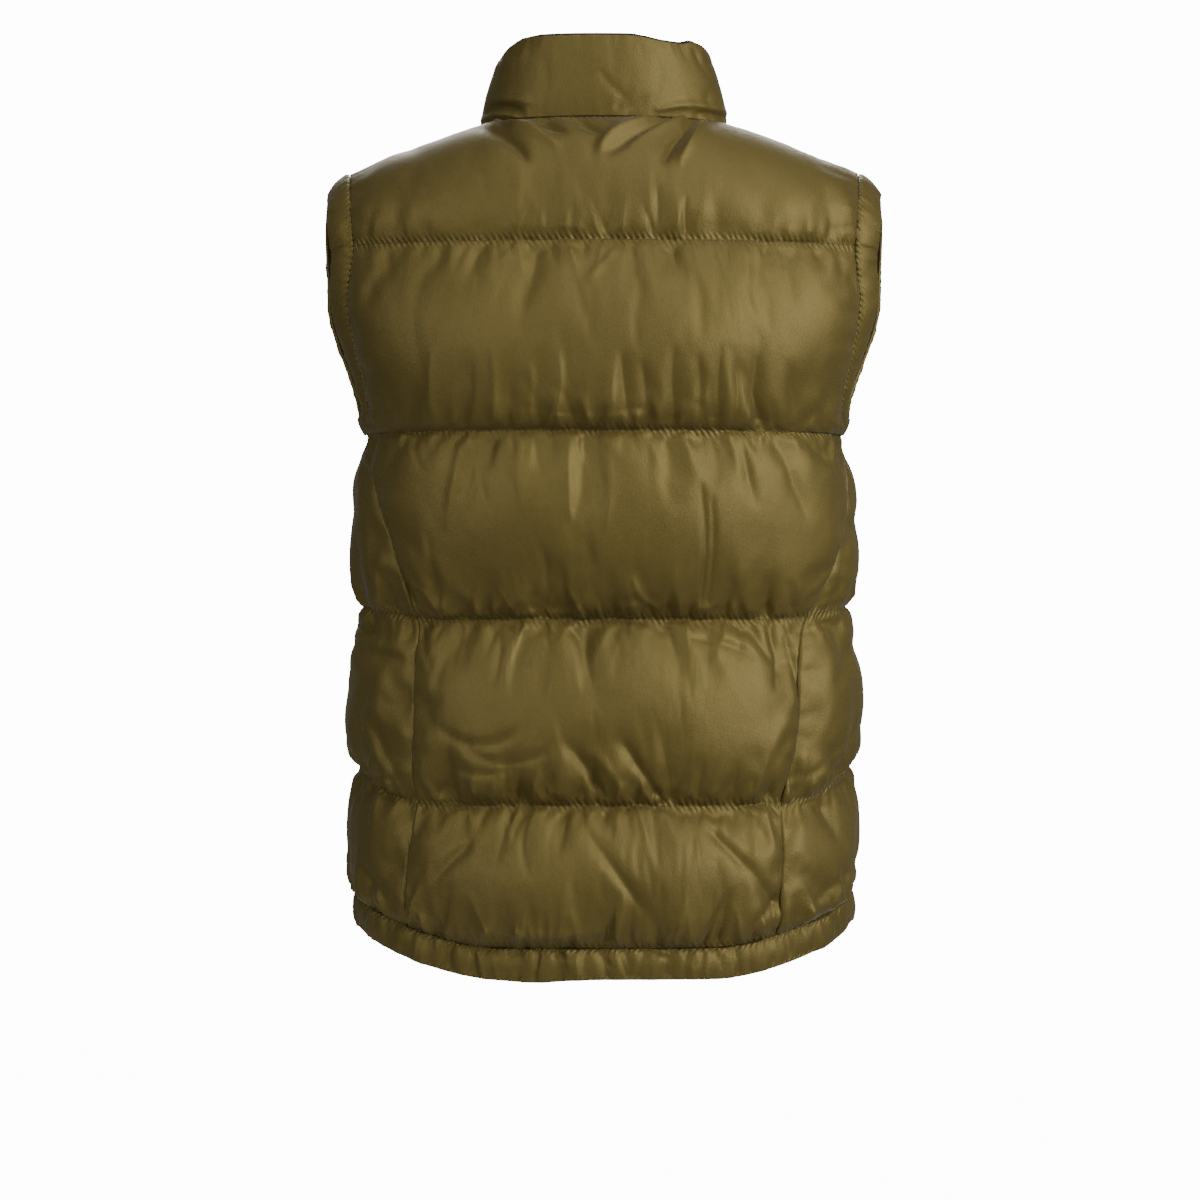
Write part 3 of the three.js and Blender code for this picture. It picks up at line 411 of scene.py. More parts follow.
def edgePinch(grid):
    # The filling thins out towards the armholes and the zip, and hardly at the side seams
    base = grid["base"]
    share = np.ones(base.shape[:2])
    for column in (0, -1):
        away = np.linalg.norm(base - base[:, column][:, None], axis=-1)
        low, reach = pinch["zip"], pinch["reach"]
        if grid["face"] == "back" or column == -1:
            low = mixed(pinch["armhole"], pinch["sideSeam"], belowArmholes(grid))
            reach = mixed(pinch["reach"], pinch["sideReach"], belowArmholes(grid))
        share *= 1 - (1 - low) * np.exp(-(away / reach) ** pinch["power"])
    return share


def gatherSpots(random, low, high):
    # Puckers below and above each line; the shoulder's edge is line -1 and has the weakest
    spots = {}
    for line in range(-1, 5):
        strength = {kind: puckers[kind]["onShoulder" if line == -1 else "onLine"] for kind in gatherKinds}
        for way in ("below", "above"):
            more, ridges = puckers[way]["strength"], puckers[way]["ridges"]
            spots[line, way] = np.concatenate([
                puckerSpots(random, kind, low, high, strength[kind] * more, ridges) for kind in gatherKinds])
        crests = puckerSpots(random, "crest", low, high, strength["middle"], puckers["crest"]["ridges"])
        spots[line, "above"] = np.concatenate([spots[line, "above"], crests])
    return spots


def seamGathers(grid, random):
    # Puckers along a panel's two upright edges
    base, wrinkles = grid["base"], 0
    for column in (0, -1):
        edge = base[:, column]
        down = np.concatenate([[0], np.cumsum(np.linalg.norm(np.diff(edge, axis=0), axis=-1))])
        away = np.linalg.norm(base - edge[:, None], axis=-1)
        spots = np.concatenate([puckerSpots(random, "small", 0, down[-1], gathering["seamSmall"]),
                                puckerSpots(random, "middle", 0, down[-1], gathering["seamMiddle"])])
        relief = puckerRelief(spots, down[:, None] + 0 * away, away)
        wrinkles = wrinkles + relief * mixed(1.0, gathering["sideSeam"], belowArmholes(grid))
    return wrinkles


crown = {"place": 0.62, "upper": 2.4}  # the filling sinks, so a channel is fullest below its middle
gathering = {"atLine": 0.25, "rise": 3.5, "yoke": 0.5, "calmed": 0.5, "calmFrom": 20, "calmTo": 150,
             "atEdge": 0.3, "soft": 0.5, "seamSmall": 0.5, "seamMiddle": 0.6, "sideSeam": 0.35}


def leaning(away, below):
    return stitchLean["share"] * np.minimum(away, stitchLean["limit"]) * np.where(below, 1, -1)


def quiltRelief(grid, seed):
    # How far the outer cloth stands from the middle surface
    base, face = grid["base"], grid["face"]
    random = np.random.default_rng(puckers["seed"] + seed)
    x, y, z = base[..., 0], base[..., 1], base[..., 2]
    angle = np.degrees(np.arctan2(np.abs(x), y))
    steps = np.linalg.norm(np.diff(base, axis=1), axis=-1)
    arc = np.concatenate([np.zeros((base.shape[0], 1)), np.cumsum(steps, axis=1)], axis=1)
    arc = arc - arc[:, arc.shape[1] // 2][:, None] if face == "back" else arc * grid["side"]
    relief = np.zeros(base.shape[:2])
    wrinkles = np.zeros(base.shape[:2])
    grid["lengthwise"], grid["away"] = arc.copy(), np.zeros(base.shape[:2])
    spots = gatherSpots(random, arc.min(), arc.max())
    for channel in range(5):
        rows = np.where(grid["channel"] == channel)[0]
        if channel > 0:
            rows = np.concatenate([[rows[0] - 1], rows])
        block = base[rows]
        t = np.where(grid["channel"][rows] == channel, grid["t"][rows], 0.0)[:, None]
        lengths = np.linalg.norm(np.diff(block, axis=0), axis=-1)
        fall = np.concatenate([np.zeros((1, base.shape[1])), np.cumsum(lengths, axis=0)])
        height = fall[-1]
        below = fall < height / 2
        grid["away"][rows] = np.where(below, fall, height - fall)
        grid["lengthwise"][rows] = arc[rows] + leaning(grid["away"][rows], below)
        sizes = channels[channel]
        turn = angle[rows]
        deep = np.where(turn < 90, mixed(sizes["back"], sizes["side"], smooth(turn, *turning["toSide"])),
                        mixed(sizes["side"], sizes["front"], smooth(turn, *turning["toFront"])))
        top = crown["place"]
        full = np.where(t < top, 1 - np.abs(1 - t / top) ** crown["upper"],
                        1 - np.abs((t - top) / (1 - top)) ** sizes["lower"])
        relief[rows] = deep * full
        gathers = (puckerRelief(spots[channel - 1, "below"], arc[rows], fall)
                   + puckerRelief(spots[channel, "above"], arc[rows], height[None] - fall))
        held = np.clip(np.sin(math.pi * t), 0, 1)
        quiet = smooth(arc[rows], gathering["calmFrom"], gathering["calmTo"])
        calm = 1 - gathering["calmed"] * quiet if face == "back" and channel < 2 else 1.0
        strength = gathering["yoke"] if channel == 0 else 1.0
        freed = np.minimum(1, gathering["atLine"] + gathering["rise"] * held)
        wrinkles[rows] = gathers * freed * strength * calm
    if face == "back":
        creases = asSeen(backCreases, base) * creasing["boldness"]
    else:
        creases = creaseRelief(frontCreases, x, z) * smooth(-y, 20, 60)
        creases += asSeen(sideCreases, base) * smooth(y, -60, -20)
    held = edgePinch(grid)
    wrinkles += seamGathers(grid, random)
    lift = np.sqrt(np.clip(relief / creasing["fullAt"], 0, 1))
    inYoke = np.maximum(lift, smooth(relief, 0, creasing["yokeFullAt"]))
    lift = np.where(grid["channel"][:, None] == 0, inYoke, lift)
    standing = (relief + creases * lift) * held + wrinkles * np.minimum(1, gathering["atEdge"] + held)
    # Nothing sinks into the wall, and the clamp is soft
    return 0.5 * (standing + np.sqrt(standing ** 2 + gathering["soft"]))


# The quilted cloth is cut a little larger than the space it fills, and the filling pushes it out
settling = {"step": 2, "frames": 22, "slack": 0.04, "pressure": 1.2, "bending": 0.22, "mass": 0.12,
            "stiffness": 15, "shear": 5, "quality": 4, "farthest": 9, "noise": 0.25, "softening": 1,
            "seed": 111, "calm": [0.35, 0.6, 0.9, 1, 1]}


def softened(field, times):
    # Averages each point with its neighbours and leaves the rim where it is
    for turn in range(times):
        rows = field.copy()
        rows[1:-1] = 0.5 * field[1:-1] + 0.25 * (field[:-2] + field[2:])
        field = rows.copy()
        field[:, 1:-1] = 0.5 * rows[:, 1:-1] + 0.25 * (rows[:, :-2] + rows[:, 2:])
    return field


def settledCloth(grid, start):
    # Simulates the outer cloth, sewn down along its stitch lines and edges, and gives how far it moved
    step = settling["step"]
    coarse = start[::step, ::step]
    rowCount, columnCount = coarse.shape[:2]
    random = np.random.default_rng(settling["seed"])
    shake = random.uniform(-1, 1, coarse.shape[:2] + (1,)) * settling["noise"]
    shaken = coarse + grid["normals"][::step, ::step] * shake
    ids = np.arange(rowCount * columnCount).reshape(rowCount, columnCount)
    mesh = bpy.data.meshes.new("settling")
    mesh.from_pydata((shaken.reshape(-1, 3) * mm).tolist(), [], gridQuads(ids, grid["outward"] < 0).tolist())
    obj = bpy.data.objects.new("settling", mesh)
    bpy.context.scene.collection.objects.link(obj)
    t = grid["t"][::step]
    sewn = np.zeros((rowCount, columnCount), bool)
    sewn[(t < 1e-6) | (t > 0.9999)] = True
    sewn[:, [0, -1]] = True
    group = obj.vertex_groups.new(name="sewn")
    group.add(ids[sewn].tolist(), 1.0, "REPLACE")
    modifier = obj.modifiers.new("cloth", "CLOTH")
    settings = modifier.settings
    settings.quality = settling["quality"]
    settings.mass = settling["mass"]
    settings.tension_stiffness = settings.compression_stiffness = settling["stiffness"]
    settings.shear_stiffness = settling["shear"]
    settings.bending_stiffness = settling["bending"]
    settings.vertex_group_mass = "sewn"
    settings.shrink_min = -settling["slack"]
    settings.use_pressure = True
    settings.uniform_pressure_force = settling["pressure"]
    settings.effector_weights.gravity = 0
    modifier.collision_settings.use_collision = False
    modifier.point_cache.frame_start = 1
    modifier.point_cache.frame_end = settling["frames"]
    for number in range(1, settling["frames"] + 1):
        bpy.context.scene.frame_set(number)
    evaluated = obj.evaluated_get(bpy.context.evaluated_depsgraph_get())
    moved = np.zeros(rowCount * columnCount * 3)
    evaluated.data.vertices.foreach_get("co", moved)
    bpy.data.objects.remove(obj)
    bpy.context.scene.frame_set(1)
    shift = moved.reshape(rowCount, columnCount, 3) / mm - coarse
    shift = softened(shift, settling["softening"])
    calm = np.array(settling["calm"])[grid["channel"][::step]]
    shift *= np.where(sewn, 1.0, calm[:, None])[..., None]
    length = np.linalg.norm(shift, axis=-1, keepdims=True)
    print("settled", grid["face"], "by", round(float(length.mean()), 2), "to", round(float(length.max()), 2))
    shift *= np.minimum(1, settling["farthest"] / np.maximum(length, 1e-6))
    return refined(shift, start.shape)


def refined(shift, shape):
    # Brings a coarse field to the fine grid, smoothly
    for axis in (0, 1):
        count = shape[axis]
        shift = np.moveaxis(shift, axis, 0)
        last = shift.shape[0] - 1
        place = np.minimum(np.arange(count) / settling["step"], last)
        k = np.minimum(place.astype(int), last - 1)
        t = (place - k).reshape(-1, 1, 1)
        before, after = shift[np.maximum(k - 1, 0)], shift[np.minimum(k + 2, last)]
        first, second = shift[k], shift[k + 1]
        shift = first + 0.5 * t * (second - before + t * (
            2 * before - 5 * first + 4 * second - after + t * (3 * (first - second) + after - before)))
        shift = np.moveaxis(shift, 0, axis)
    return shift


kink = {"columns": 22, "times": 60, "heldRows": 6}


def withoutKink(grid, points):
    # Eases the yoke below each corner of the neck, where the shoulder's edge meets the ring
    yoke = np.where(grid["channel"] == 0)[0]
    corner = fineness[grid["face"] + "Neck"]
    middle = points.shape[1] // 2
    corners = [middle - corner, middle + corner] if grid["face"] == "back" else [corner]
    for column in corners:
        span = np.arange(column - kink["columns"], column + kink["columns"] + 1)
        for turn in range(kink["times"]):
            block = points[yoke][:, span]
            eased = block.copy()
            eased[:, 1:-1] = 0.5 * block[:, 1:-1] + 0.25 * (block[:, :-2] + block[:, 2:])
            hold = np.clip(np.arange(len(yoke)) / kink["heldRows"], 0, 1)[:, None, None]
            points[np.ix_(yoke, span)] = mixed(block, eased, hold)
    return points


def closeSideSeams(grid):
    # Below the armholes the neighbouring panels' cloth meets at the seam
    rows = np.where(grid["channel"] + grid["t"] > 2.0)[0]
    for column, beside in ((-1, -2), (0, 1)) if grid["face"] == "back" else ((-1, -2),):
        for layer in ("outer", "inner"):
            way = unit(grid["base"][rows, column] - grid["base"][rows, beside])
            grid[layer][rows, column] += way * cloth["seamGap"] * cloth["seamClosed"]


def buildPanel(face, side, seed):
    grid = panelGrid(face, side)
    height = cloth["wall"] / 2 + quiltRelief(grid, seed)
    grid["outer"] = withoutKink(grid, grid["base"] + grid["normals"] * height[..., None])
    grid["outer"] = grid["outer"] + settledCloth(grid, grid["outer"])
    grid["inner"] = grid["base"] - grid["normals"] * cloth["wall"] / 2
    closeSideSeams(grid)
    return grid


def laced(first, second):
    # Triangles between two edges of different fineness
    faces = []
    p = q = 0
    while p < len(first) - 1 or q < len(second) - 1:
        nextP, nextQ = (p + 1) / (len(first) - 1), (q + 1) / (len(second) - 1)
        if p < len(first) - 1 and (q == len(second) - 1 or nextP <= nextQ + 1e-9):
            faces.append((first[p + 1], first[p], second[q]))
            p += 1
        else:
            faces.append((second[q], second[q + 1], first[p]))
            q += 1
    return faces


def gridQuads(ids, flip):
    a, b, c, d = ids[:-1, :-1], ids[1:, :-1], ids[1:, 1:], ids[:-1, 1:]
    quads = np.stack([a, d, c, b] if flip else [a, b, c, d], axis=-1)
    return quads.reshape(-1, 4)


def flatSize(rows):
    # The rectangle that a piece is cut from, in metres, and its own area in square metres
    across, fall = np.diff(rows, axis=1), np.diff(rows, axis=0)
    width = float(np.linalg.norm(across, axis=-1).sum(axis=1).max()) * mm
    height = float(np.linalg.norm(fall, axis=-1).sum(axis=0).max()) * mm
    area = float(np.linalg.norm(np.cross(across[:-1], fall[:, :-1]), axis=-1).sum()) * mm * mm
    return round(width, 3), round(height, 3), round(area, 4)


def picked(count):
    # The inner grid's rows or columns that are kept
    step = fineness["innerStep"] if count >= fineness["whole"] else 1
    return np.unique(np.concatenate([np.arange(0, count, step), [count - 1]]))


def wallMesh(name, outer, inner, sewn, looped=False):
    # A closed piece between an outer and a coarser inner grid; slot 0 is the outside and 1 the inside
    rowPick, columnPick = picked(inner.shape[0]), picked(inner.shape[1])
    if looped:
        columnPick = np.arange(0, inner.shape[1], fineness["bandStep"])
    back = inner[rowPick][:, columnPick]
    points = np.concatenate([outer.reshape(-1, 3), back.reshape(-1, 3)])
    outCount = outer.shape[0] * outer.shape[1]
    outIds = np.arange(outCount).reshape(outer.shape[:2])
    backIds = np.arange(outCount, len(points)).reshape(back.shape[:2])
    if looped:
        outIds = np.concatenate([outIds, outIds[:, :1]], axis=1)
        backIds = np.concatenate([backIds, backIds[:, :1]], axis=1)
    rim = laced(outIds[0], backIds[0])
    rim = [face[::-1] for face in rim] + laced(outIds[-1], backIds[-1])
    if not looped:
        rim += laced(outIds[:, 0], backIds[:, 0])
        rim += [face[::-1] for face in laced(outIds[:, -1], backIds[:, -1])]
    outQuads, backQuads = gridQuads(outIds, False), gridQuads(backIds, True)
    corners = points[outQuads]
    sample = np.cross(corners[:, 2] - corners[:, 0], corners[:, 3] - corners[:, 1])
    first = outQuads[:, 0]
    side = np.sum(sample * (outer.reshape(-1, 3)[first] - inner.reshape(-1, 3)[first]))
    faces = [*outQuads.tolist(), *backQuads.tolist(), *rim]
    if side < 0:
        faces = [face[::-1] for face in faces]
    mesh = bpy.data.meshes.new(name)
    mesh.from_pydata((points * mm).tolist(), [], faces)
    material = np.zeros(len(faces), np.int32)
    material[len(outQuads):len(outQuads) + len(backQuads)] = 1
    mesh.polygons.foreach_set("material_index", material)
    mesh.polygons.foreach_set("use_smooth", np.ones(len(faces), bool))
    mesh.update()
    # Along the stitch line and away from it, in metres, for the stitch puckers in the finish
    spread = np.full((len(points), 2), 1.0)
    spread[:outCount] = np.stack(sewn, axis=-1).reshape(-1, 2) * mm
    corner = np.zeros(len(mesh.loops), np.int32)
    mesh.loops.foreach_get("vertex_index", corner)
    mesh.uv_layers.new(name="sewn").data.foreach_set("uv", spread[corner].ravel())
    obj = bpy.data.objects.new(name, mesh)
    bpy.context.scene.collection.objects.link(obj)
    return obj


# Rings of edge points to which the strips are sewn
def edgeOf(grid, rows, columns):
    return {name: grid[name][rows, columns] for name in ("base", "outer", "inner", "normals")}


def joined(edges):
    ring = edges[0]
    for edge in edges[1:]:
        ring = {name: np.concatenate([first[:-1], (first[-1:] + edge[name][:1]) / 2, edge[name][1:]])
                for name, first in ring.items()}
    ring["normals"] = unit(ring["normals"])
    return ring


def squaredOff(ring, roughWay, looped=False):
    base = ring["base"]
    if looped:
        tangent = np.roll(base, -1, axis=0) - np.roll(base, 1, axis=0)
    else:
        tangent = np.gradient(base, axis=0)
    ring["tangent"] = unit(tangent)
    off = unit(np.cross(ring["normals"], ring["tangent"]))
    ring["off"] = off * np.sign(np.sum(off * roughWay, axis=-1, keepdims=True))
    return ring


def outOfNeck(base):
    depth = np.where(base[:, 1] > 0, neck["back"], neck["front"])
    return unit(np.stack([base[:, 0] / neck["halfWidth"] ** 2, base[:, 1] / depth ** 2, 0 * depth], axis=-1))


down = np.array([0.0, 0.0, -1.0])


def armholeCentre(base):
    way = np.stack([0 * base[:, 1], armhole["middleY"] - base[:, 1], armhole["middle"] - base[:, 2]], axis=-1)
    return unit(way)


collar = {"topScale": 0.875, "backScale": 0.97, "frontScale": 0.955, "puff": 3.6, "rows": 34, "height": 64,
          "narrowed": (10, 80), "dip": 4.2, "dipStarts": (18, 52), "dipEnds": (58, 72),
          "small": 0.3, "large": 0.35}
collarTop = table(["at", "left", "right"], [
    [0, 61, 61], [35, 61.5, 61], [52, 60, 60], [70, 51, 56], [85, 44, 50], [110, 37, 40], [150, 12, 12],
    [180, 3, 3]])


def collarTopPoints(base):
    angle = np.degrees(np.arctan2(np.abs(base[:, 0]) / neck["halfWidth"],
                                  base[:, 1] / np.where(base[:, 1] > 0, neck["back"], neck["front"])))
    left, right = (np.interp(angle, collarTop["at"], collarTop[name]) for name in ("left", "right"))
    x = base[:, 0] * mixed(1, collar["topScale"], smooth(np.abs(base[:, 0]), *collar["narrowed"]))
    dip = collar["dip"] * smooth(-x, *collar["dipStarts"]) * (1 - smooth(-x, *collar["dipEnds"]))
    z = np.where(base[:, 0] > 0, left, right) - dip * (base[:, 1] > 0)
    depthScale = np.where(base[:, 1] > 0, collar["backScale"], collar["frontScale"])
    return np.stack([x, base[:, 1] * depthScale, z], axis=-1)


def ringArc(ring):
    steps = np.linalg.norm(np.diff(ring["base"], axis=0), axis=-1)
    return np.concatenate([[0], np.cumsum(steps)])


strip = {"from": 0.06, "span": 0.9, "skew": 0.9, "fullness": 0.6, "small": 0.7, "middle": 0.55, "calm": 1.5}


def stripRelief(arc, at, width, seed, sizes):
    # Round padded strip with puckers from both of its edges
    random = np.random.default_rng(puckers["seed"] + seed)
    turn = math.pi * (strip["from"] + strip["span"] * at) ** strip["skew"]
    full = np.clip(np.sin(turn), 0, 1) ** strip["fullness"]
    relief = sizes["puff"] * full[:, None] * np.ones_like(arc)[None]
    arcs, away = np.broadcast_arrays(arc[None], (at * width)[:, None])
    for fall in (away, width - away):
        fine = puckerSpots(random, "small", arc[0], arc[-1], strip["small"] * sizes["small"])
        long = puckerSpots(random, "middle", arc[0], arc[-1], strip["middle"] * sizes["large"])
        relief = relief + puckerRelief(np.concatenate([fine, long]), arcs, fall)
    return np.maximum(relief, cloth["least"])


def stripGrid(ring, middles, sides, relief, gap):
    # The seam's turned-in edge lies behind the panel, then the strip follows its own middle surface
    wall = cloth["wall"]
    turnedIn = {"deep": 4.0, "clear": 0.4, "thick": 0.6}
    under = ring["inner"] - ring["normals"] * turnedIn["clear"]
    deeper = under - ring["normals"] * turnedIn["thick"]
    back, out = ring["off"] * turnedIn["deep"], ring["off"] * gap
    outer = [under - back, under + out, ring["outer"] + out]
    inner = [deeper - back, deeper + out]
    for middle, side, height in zip(middles, sides, relief):
        outer.append(middle + side * (wall / 2 + height[:, None]))
        inner.append(middle - side * wall / 2)
    return np.array(outer), np.array(inner)


print("building panels")
backPanel = buildPanel("back", 0, 1)
frontLeft = buildPanel("front", 1, 2)
frontRight = buildPanel("front", -1, 3)

lastRow = backPanel["base"].shape[0] - 1
armRow = int(np.where(backPanel["channel"] == 1)[0][-1])
backColumns = np.arange(backPanel["base"].shape[1] - 1, -1, -1)
frontColumns = np.arange(frontLeft["base"].shape[1])
neckBack = backColumns[fineness["backShoulder"]:-fineness["backShoulder"]]
neckFront = np.arange(fineness["frontNeck"] + 1)


def ringAround(row, front, back, roughWay):
    ring = joined([edgeOf(frontLeft, row, front), edgeOf(backPanel, row, back),
                   edgeOf(frontRight, row, front[::-1])])
    return squaredOff(ring, roughWay(ring["base"]))


neckRing = ringAround(0, neckFront, neckBack, lambda base: -(outOfNeck(base) + down))
hemRing = ringAround(lastRow, frontColumns, backColumns, lambda base: down[None])


def armholeRing(side):
    front = frontLeft if side > 0 else frontRight
    column = backPanel["base"].shape[1] - 1 if side > 0 else 0
    up = edgeOf(backPanel, np.arange(armRow, -1, -1), column)
    downFront = edgeOf(front, np.arange(armRow + 1), front["base"].shape[1] - 1)
    opened = joined([up, downFront])
    ring = {name: np.concatenate([(edge[-1:] + edge[:1]) / 2, edge[1:-1]]) for name, edge in opened.items()}
    ring["normals"] = unit(ring["normals"])
    rough = armholeCentre(ring["base"])
    rough[:, 0] = side * 0.6
    return squaredOff(ring, rough, looped=True)


print("building collar and bands")
pieces = {}
unsewn = 1e3  # farther from a stitch line than any pucker reaches


def plainStrip(name, outer, thickness):
    flat = 0 * outer[..., 0]
    pieces[name] = wallMesh(name, outer, outer - thickness, (flat, flat + unsewn))


def seamEdge(name, first, second, firstNear, secondNear):
    # The turned-in edges of a seam, a narrow strip behind it
    sizes = {"half": 4.0, "clear": 0.45, "thick": 0.6}
    middle = (first["inner"] + second["inner"]) / 2
    normal = unit(first["normals"] + second["normals"])
    across = unit(secondNear - firstNear)
    rows = [middle - normal * sizes["clear"] + across * sizes["half"] * way for way in (-1, 0, 1)]
    plainStrip(name, np.stack(rows, axis=1), normal[:, None] * sizes["thick"])


for sideName, front, column, near in (("Left", frontLeft, -1, -6), ("Right", frontRight, 0, 5)):
    rows = np.arange(armRow, lastRow + 1)
    seamEdge("sideSeam" + sideName, edgeOf(backPanel, rows, column), edgeOf(front, rows, -1),
             backPanel["inner"][rows, near], front["inner"][rows, -6])
    count = fineness["frontShoulder"]
    columns = np.linspace(0, fineness["backShoulder"], count + 1).round().astype(int)
    backRow = columns if sideName == "Right" else backPanel["base"].shape[1] - 1 - columns
    frontRow = front["base"].shape[1] - 1 - np.arange(count + 1)
    seamEdge("shoulderSeam" + sideName, edgeOf(backPanel, 0, backRow), edgeOf(front, 0, frontRow),
             backPanel["inner"][4, backRow], front["inner"][4, frontRow])

for name, panel in (("backPuff", backPanel), ("frontPuffLeft", frontLeft), ("frontPuffRight", frontRight)):
    pieces[name] = wallMesh(name, panel["outer"], panel["inner"], (panel["lengthwise"], panel["away"]))


def stripSpread(arc, at, width):
    # Along and away from the nearer edge of a strip
    away = np.concatenate([[0, 0, 0], at]) * width
    below = away < width / 2
    near = np.where(below, away, width - away) * strip["calm"]
    return arc[None] + leaning(near, below)[:, None], near[:, None] + 0 * arc[None]


seam = cloth["seamGap"]
neckArc = ringArc(neckRing)
collarAt = crowded(collar["rows"])[1:]
neckFoot = neckRing["base"] + neckRing["off"] * seam
neckTop = collarTopPoints(neckRing["base"])
collarMiddles = np.array([mixed(neckFoot, neckTop, at) for at in collarAt])
collarSides = np.array([outOfNeck(neckRing["base"])] * len(collarAt))
collarRelief = stripRelief(neckArc, collarAt, collar["height"], 11, collar)
frontFolds = creaseRelief(collarFrontCreases, collarMiddles[..., 0], collarMiddles[..., 2])
collarFolds = np.where(collarMiddles[..., 1] < 0, frontFolds, asSeen(collarCreases, collarMiddles))
collarRelief = np.maximum(collarRelief + collarFolds, cloth["least"])
collarOuter, collarInner = stripGrid(neckRing, collarMiddles, collarSides, collarRelief, seam)
collarSpread = stripSpread(neckArc, collarAt, collar["height"])
# The collar's stitches pull hardly at its foot, and not at its upper half
quiet = {"share": 2.2, "least": 1.5, "none": 100}
collarSpread[1][:] = np.minimum(collarSpread[1] * quiet["share"] + quiet["least"], quiet["none"])
collarSpread[1][len(collarAt) // 2:] = quiet["none"]
pieces["collarPuff"] = wallMesh("collarPuff", collarOuter, collarInner, collarSpread)

liningSizes = {"thickness": 1.1, "proud": 0.03, "gap": 0.38, "rows": 16}
liningAt = np.linspace(0.08, 1 + liningSizes["proud"], liningSizes["rows"])
liningMiddle = np.array([mixed(neckFoot, neckTop, at) for at in liningAt])
liningFace = -cloth["wall"] / 2 - liningSizes["gap"]
liningSide = outOfNeck(neckRing["base"])[None]
liningOuter = liningMiddle + liningSide * liningFace
pieces["collarLining"] = wallMesh("collarLining", liningOuter,
                                  liningMiddle + liningSide * (liningFace - liningSizes["thickness"]),
                                  np.broadcast_arrays(neckArc[None], unsewn * np.ones((len(liningAt), 1))))

hem = {"height": 24, "puff": 4.0, "rows": 18, "dip": 0.1, "dipAt": 54, "dipWidth": 26,
       "small": 0.8, "large": 1.3}
hemArc = ringArc(hemRing)
hemAt = crowded(hem["rows"])[1:]
hemWay = unit(mixed(hemRing["off"], down[None], 0.6))
fromDip = (hemRing["base"][:, :1] - hem["dipAt"]) / hem["dipWidth"]
hemDip = 1 + hem["dip"] * np.exp(-fromDip ** 2) * (hemRing["base"][:, 1:2] > 0)
hemFoot = hemRing["base"] + hemRing["off"] * seam
hemMiddles = np.array([hemFoot + hemWay * hem["height"] * hemDip * at for at in hemAt])
hemSide = hemRing["normals"].copy()
hemSide[:, 2] = 0
hemSides = np.array([unit(hemSide)] * len(hemAt))
hemRelief = stripRelief(hemArc, hemAt, hem["height"], 12, hem)
hemFolds = asSeen(hemCreases, hemMiddles) * (hemMiddles[..., 1] > 0)
hemRelief = np.maximum(hemRelief + hemFolds, cloth["least"])
hemOuter, hemInner = stripGrid(hemRing, hemMiddles, hemSides, hemRelief, seam)
pieces["hemPuff"] = wallMesh("hemPuff", hemOuter, hemInner, stripSpread(hemArc, hemAt, hem["height"]))

# Each pair of heights, from the armhole's foot to the shoulder, says where a change starts and ends
armBand = {"width": 24, "puff": 3.6, "gap": 0.65, "rows": 18, "small": 0.6, "large": 0.4, "lip": 0.3,
           "lean": (0.42, 0.8), "leanHeights": (0.05, 0.85), "narrow": 0.62, "narrowHeights": (0, 0.3),
           "toCentre": 0.6, "drop": 0.2, "dropHeights": (0.8, 1), "level": 0.8, "joint": 0.4, "blend": 12}


def armBandPiece(name, side, seed):
    ring = armholeRing(side)
    low, high = ring["base"][0, 2], shoulderTip["z"]
    height = (ring["base"][:, 2] - low) / (high - low)
    lean = mixed(*armBand["lean"], smooth(height, *armBand["leanHeights"]))[:, None]
    width = mixed(armBand["narrow"], 1, smooth(height, *armBand["narrowHeights"]))[:, None] * armBand["width"]
    inwards = ring["off"].copy()
    inwards[:, 0] = 0
    inwards = unit(mixed(inwards, armholeCentre(ring["base"]), armBand["toCentre"]))
    drop = (smooth(height, *armBand["dropHeights"]) * armBand["drop"])[:, None]
    way = unit(np.array([side, 0, 0]) * lean + inwards * (np.sqrt(1 - lean ** 2) + drop))
    way = unit(way - ring["tangent"] * np.sum(way * ring["tangent"], axis=-1, keepdims=True))
    normal = unit(np.cross(way, ring["tangent"]))
    normal *= np.sign(np.sum(normal * ring["normals"], axis=-1, keepdims=True))
    at = crowded(armBand["rows"])[1:]
    middles = [ring["base"] + ring["off"] * armBand["gap"] + way * width * place for place in at]
    armBand["middles"] = np.array(middles)
    arc = ringArc(ring)
    relief = stripRelief(arc, at, armBand["width"], seed, armBand)
    blend = np.minimum(1, np.minimum(arc, arc[-1] - arc) / armBand["blend"])
    level = armBand["puff"] * armBand["level"]
    relief = level + (relief - level) * mixed(armBand["joint"], 1, blend)[None]
    relief[-1] = armBand["lip"]
    outer, inner = stripGrid(ring, middles, [normal] * len(at), relief, armBand["gap"])
    return wallMesh(name, outer, inner, stripSpread(arc, at, armBand["width"]), looped=True)


pieces["armBandLeft"] = armBandPiece("armBandLeft", 1, 13)
pieces["armBandRight"] = armBandPiece("armBandRight", -1, 14)


def zipEdge(name, side):
    # The front's edge behind the tape, which closes the slits beside the tape and the teeth
    sizes = {"near": 2.4, "far": 6.97, "behind": 0.75, "thick": 0.5}
    end, front = (0, frontLeft) if side > 0 else (-1, frontRight)
    middles = np.concatenate([collarMiddles[::-1, end], front["base"][:, 0], hemMiddles[:, end]])
    normals = np.concatenate([collarSides[:, end], front["normals"][:, 0], hemSides[:, end]])
    normals[:, 0] = 0
    normals = unit(normals)[:, None]
    outer = np.repeat(middles[:, None], 3, axis=1)
    outer[..., 0] = side * np.linspace(sizes["near"], sizes["far"], 3)
    plainStrip(name, outer - normals * sizes["behind"], normals * sizes["thick"])


zipEdge("zipEdgeLeft", 1)
zipEdge("zipEdgeRight", -1)


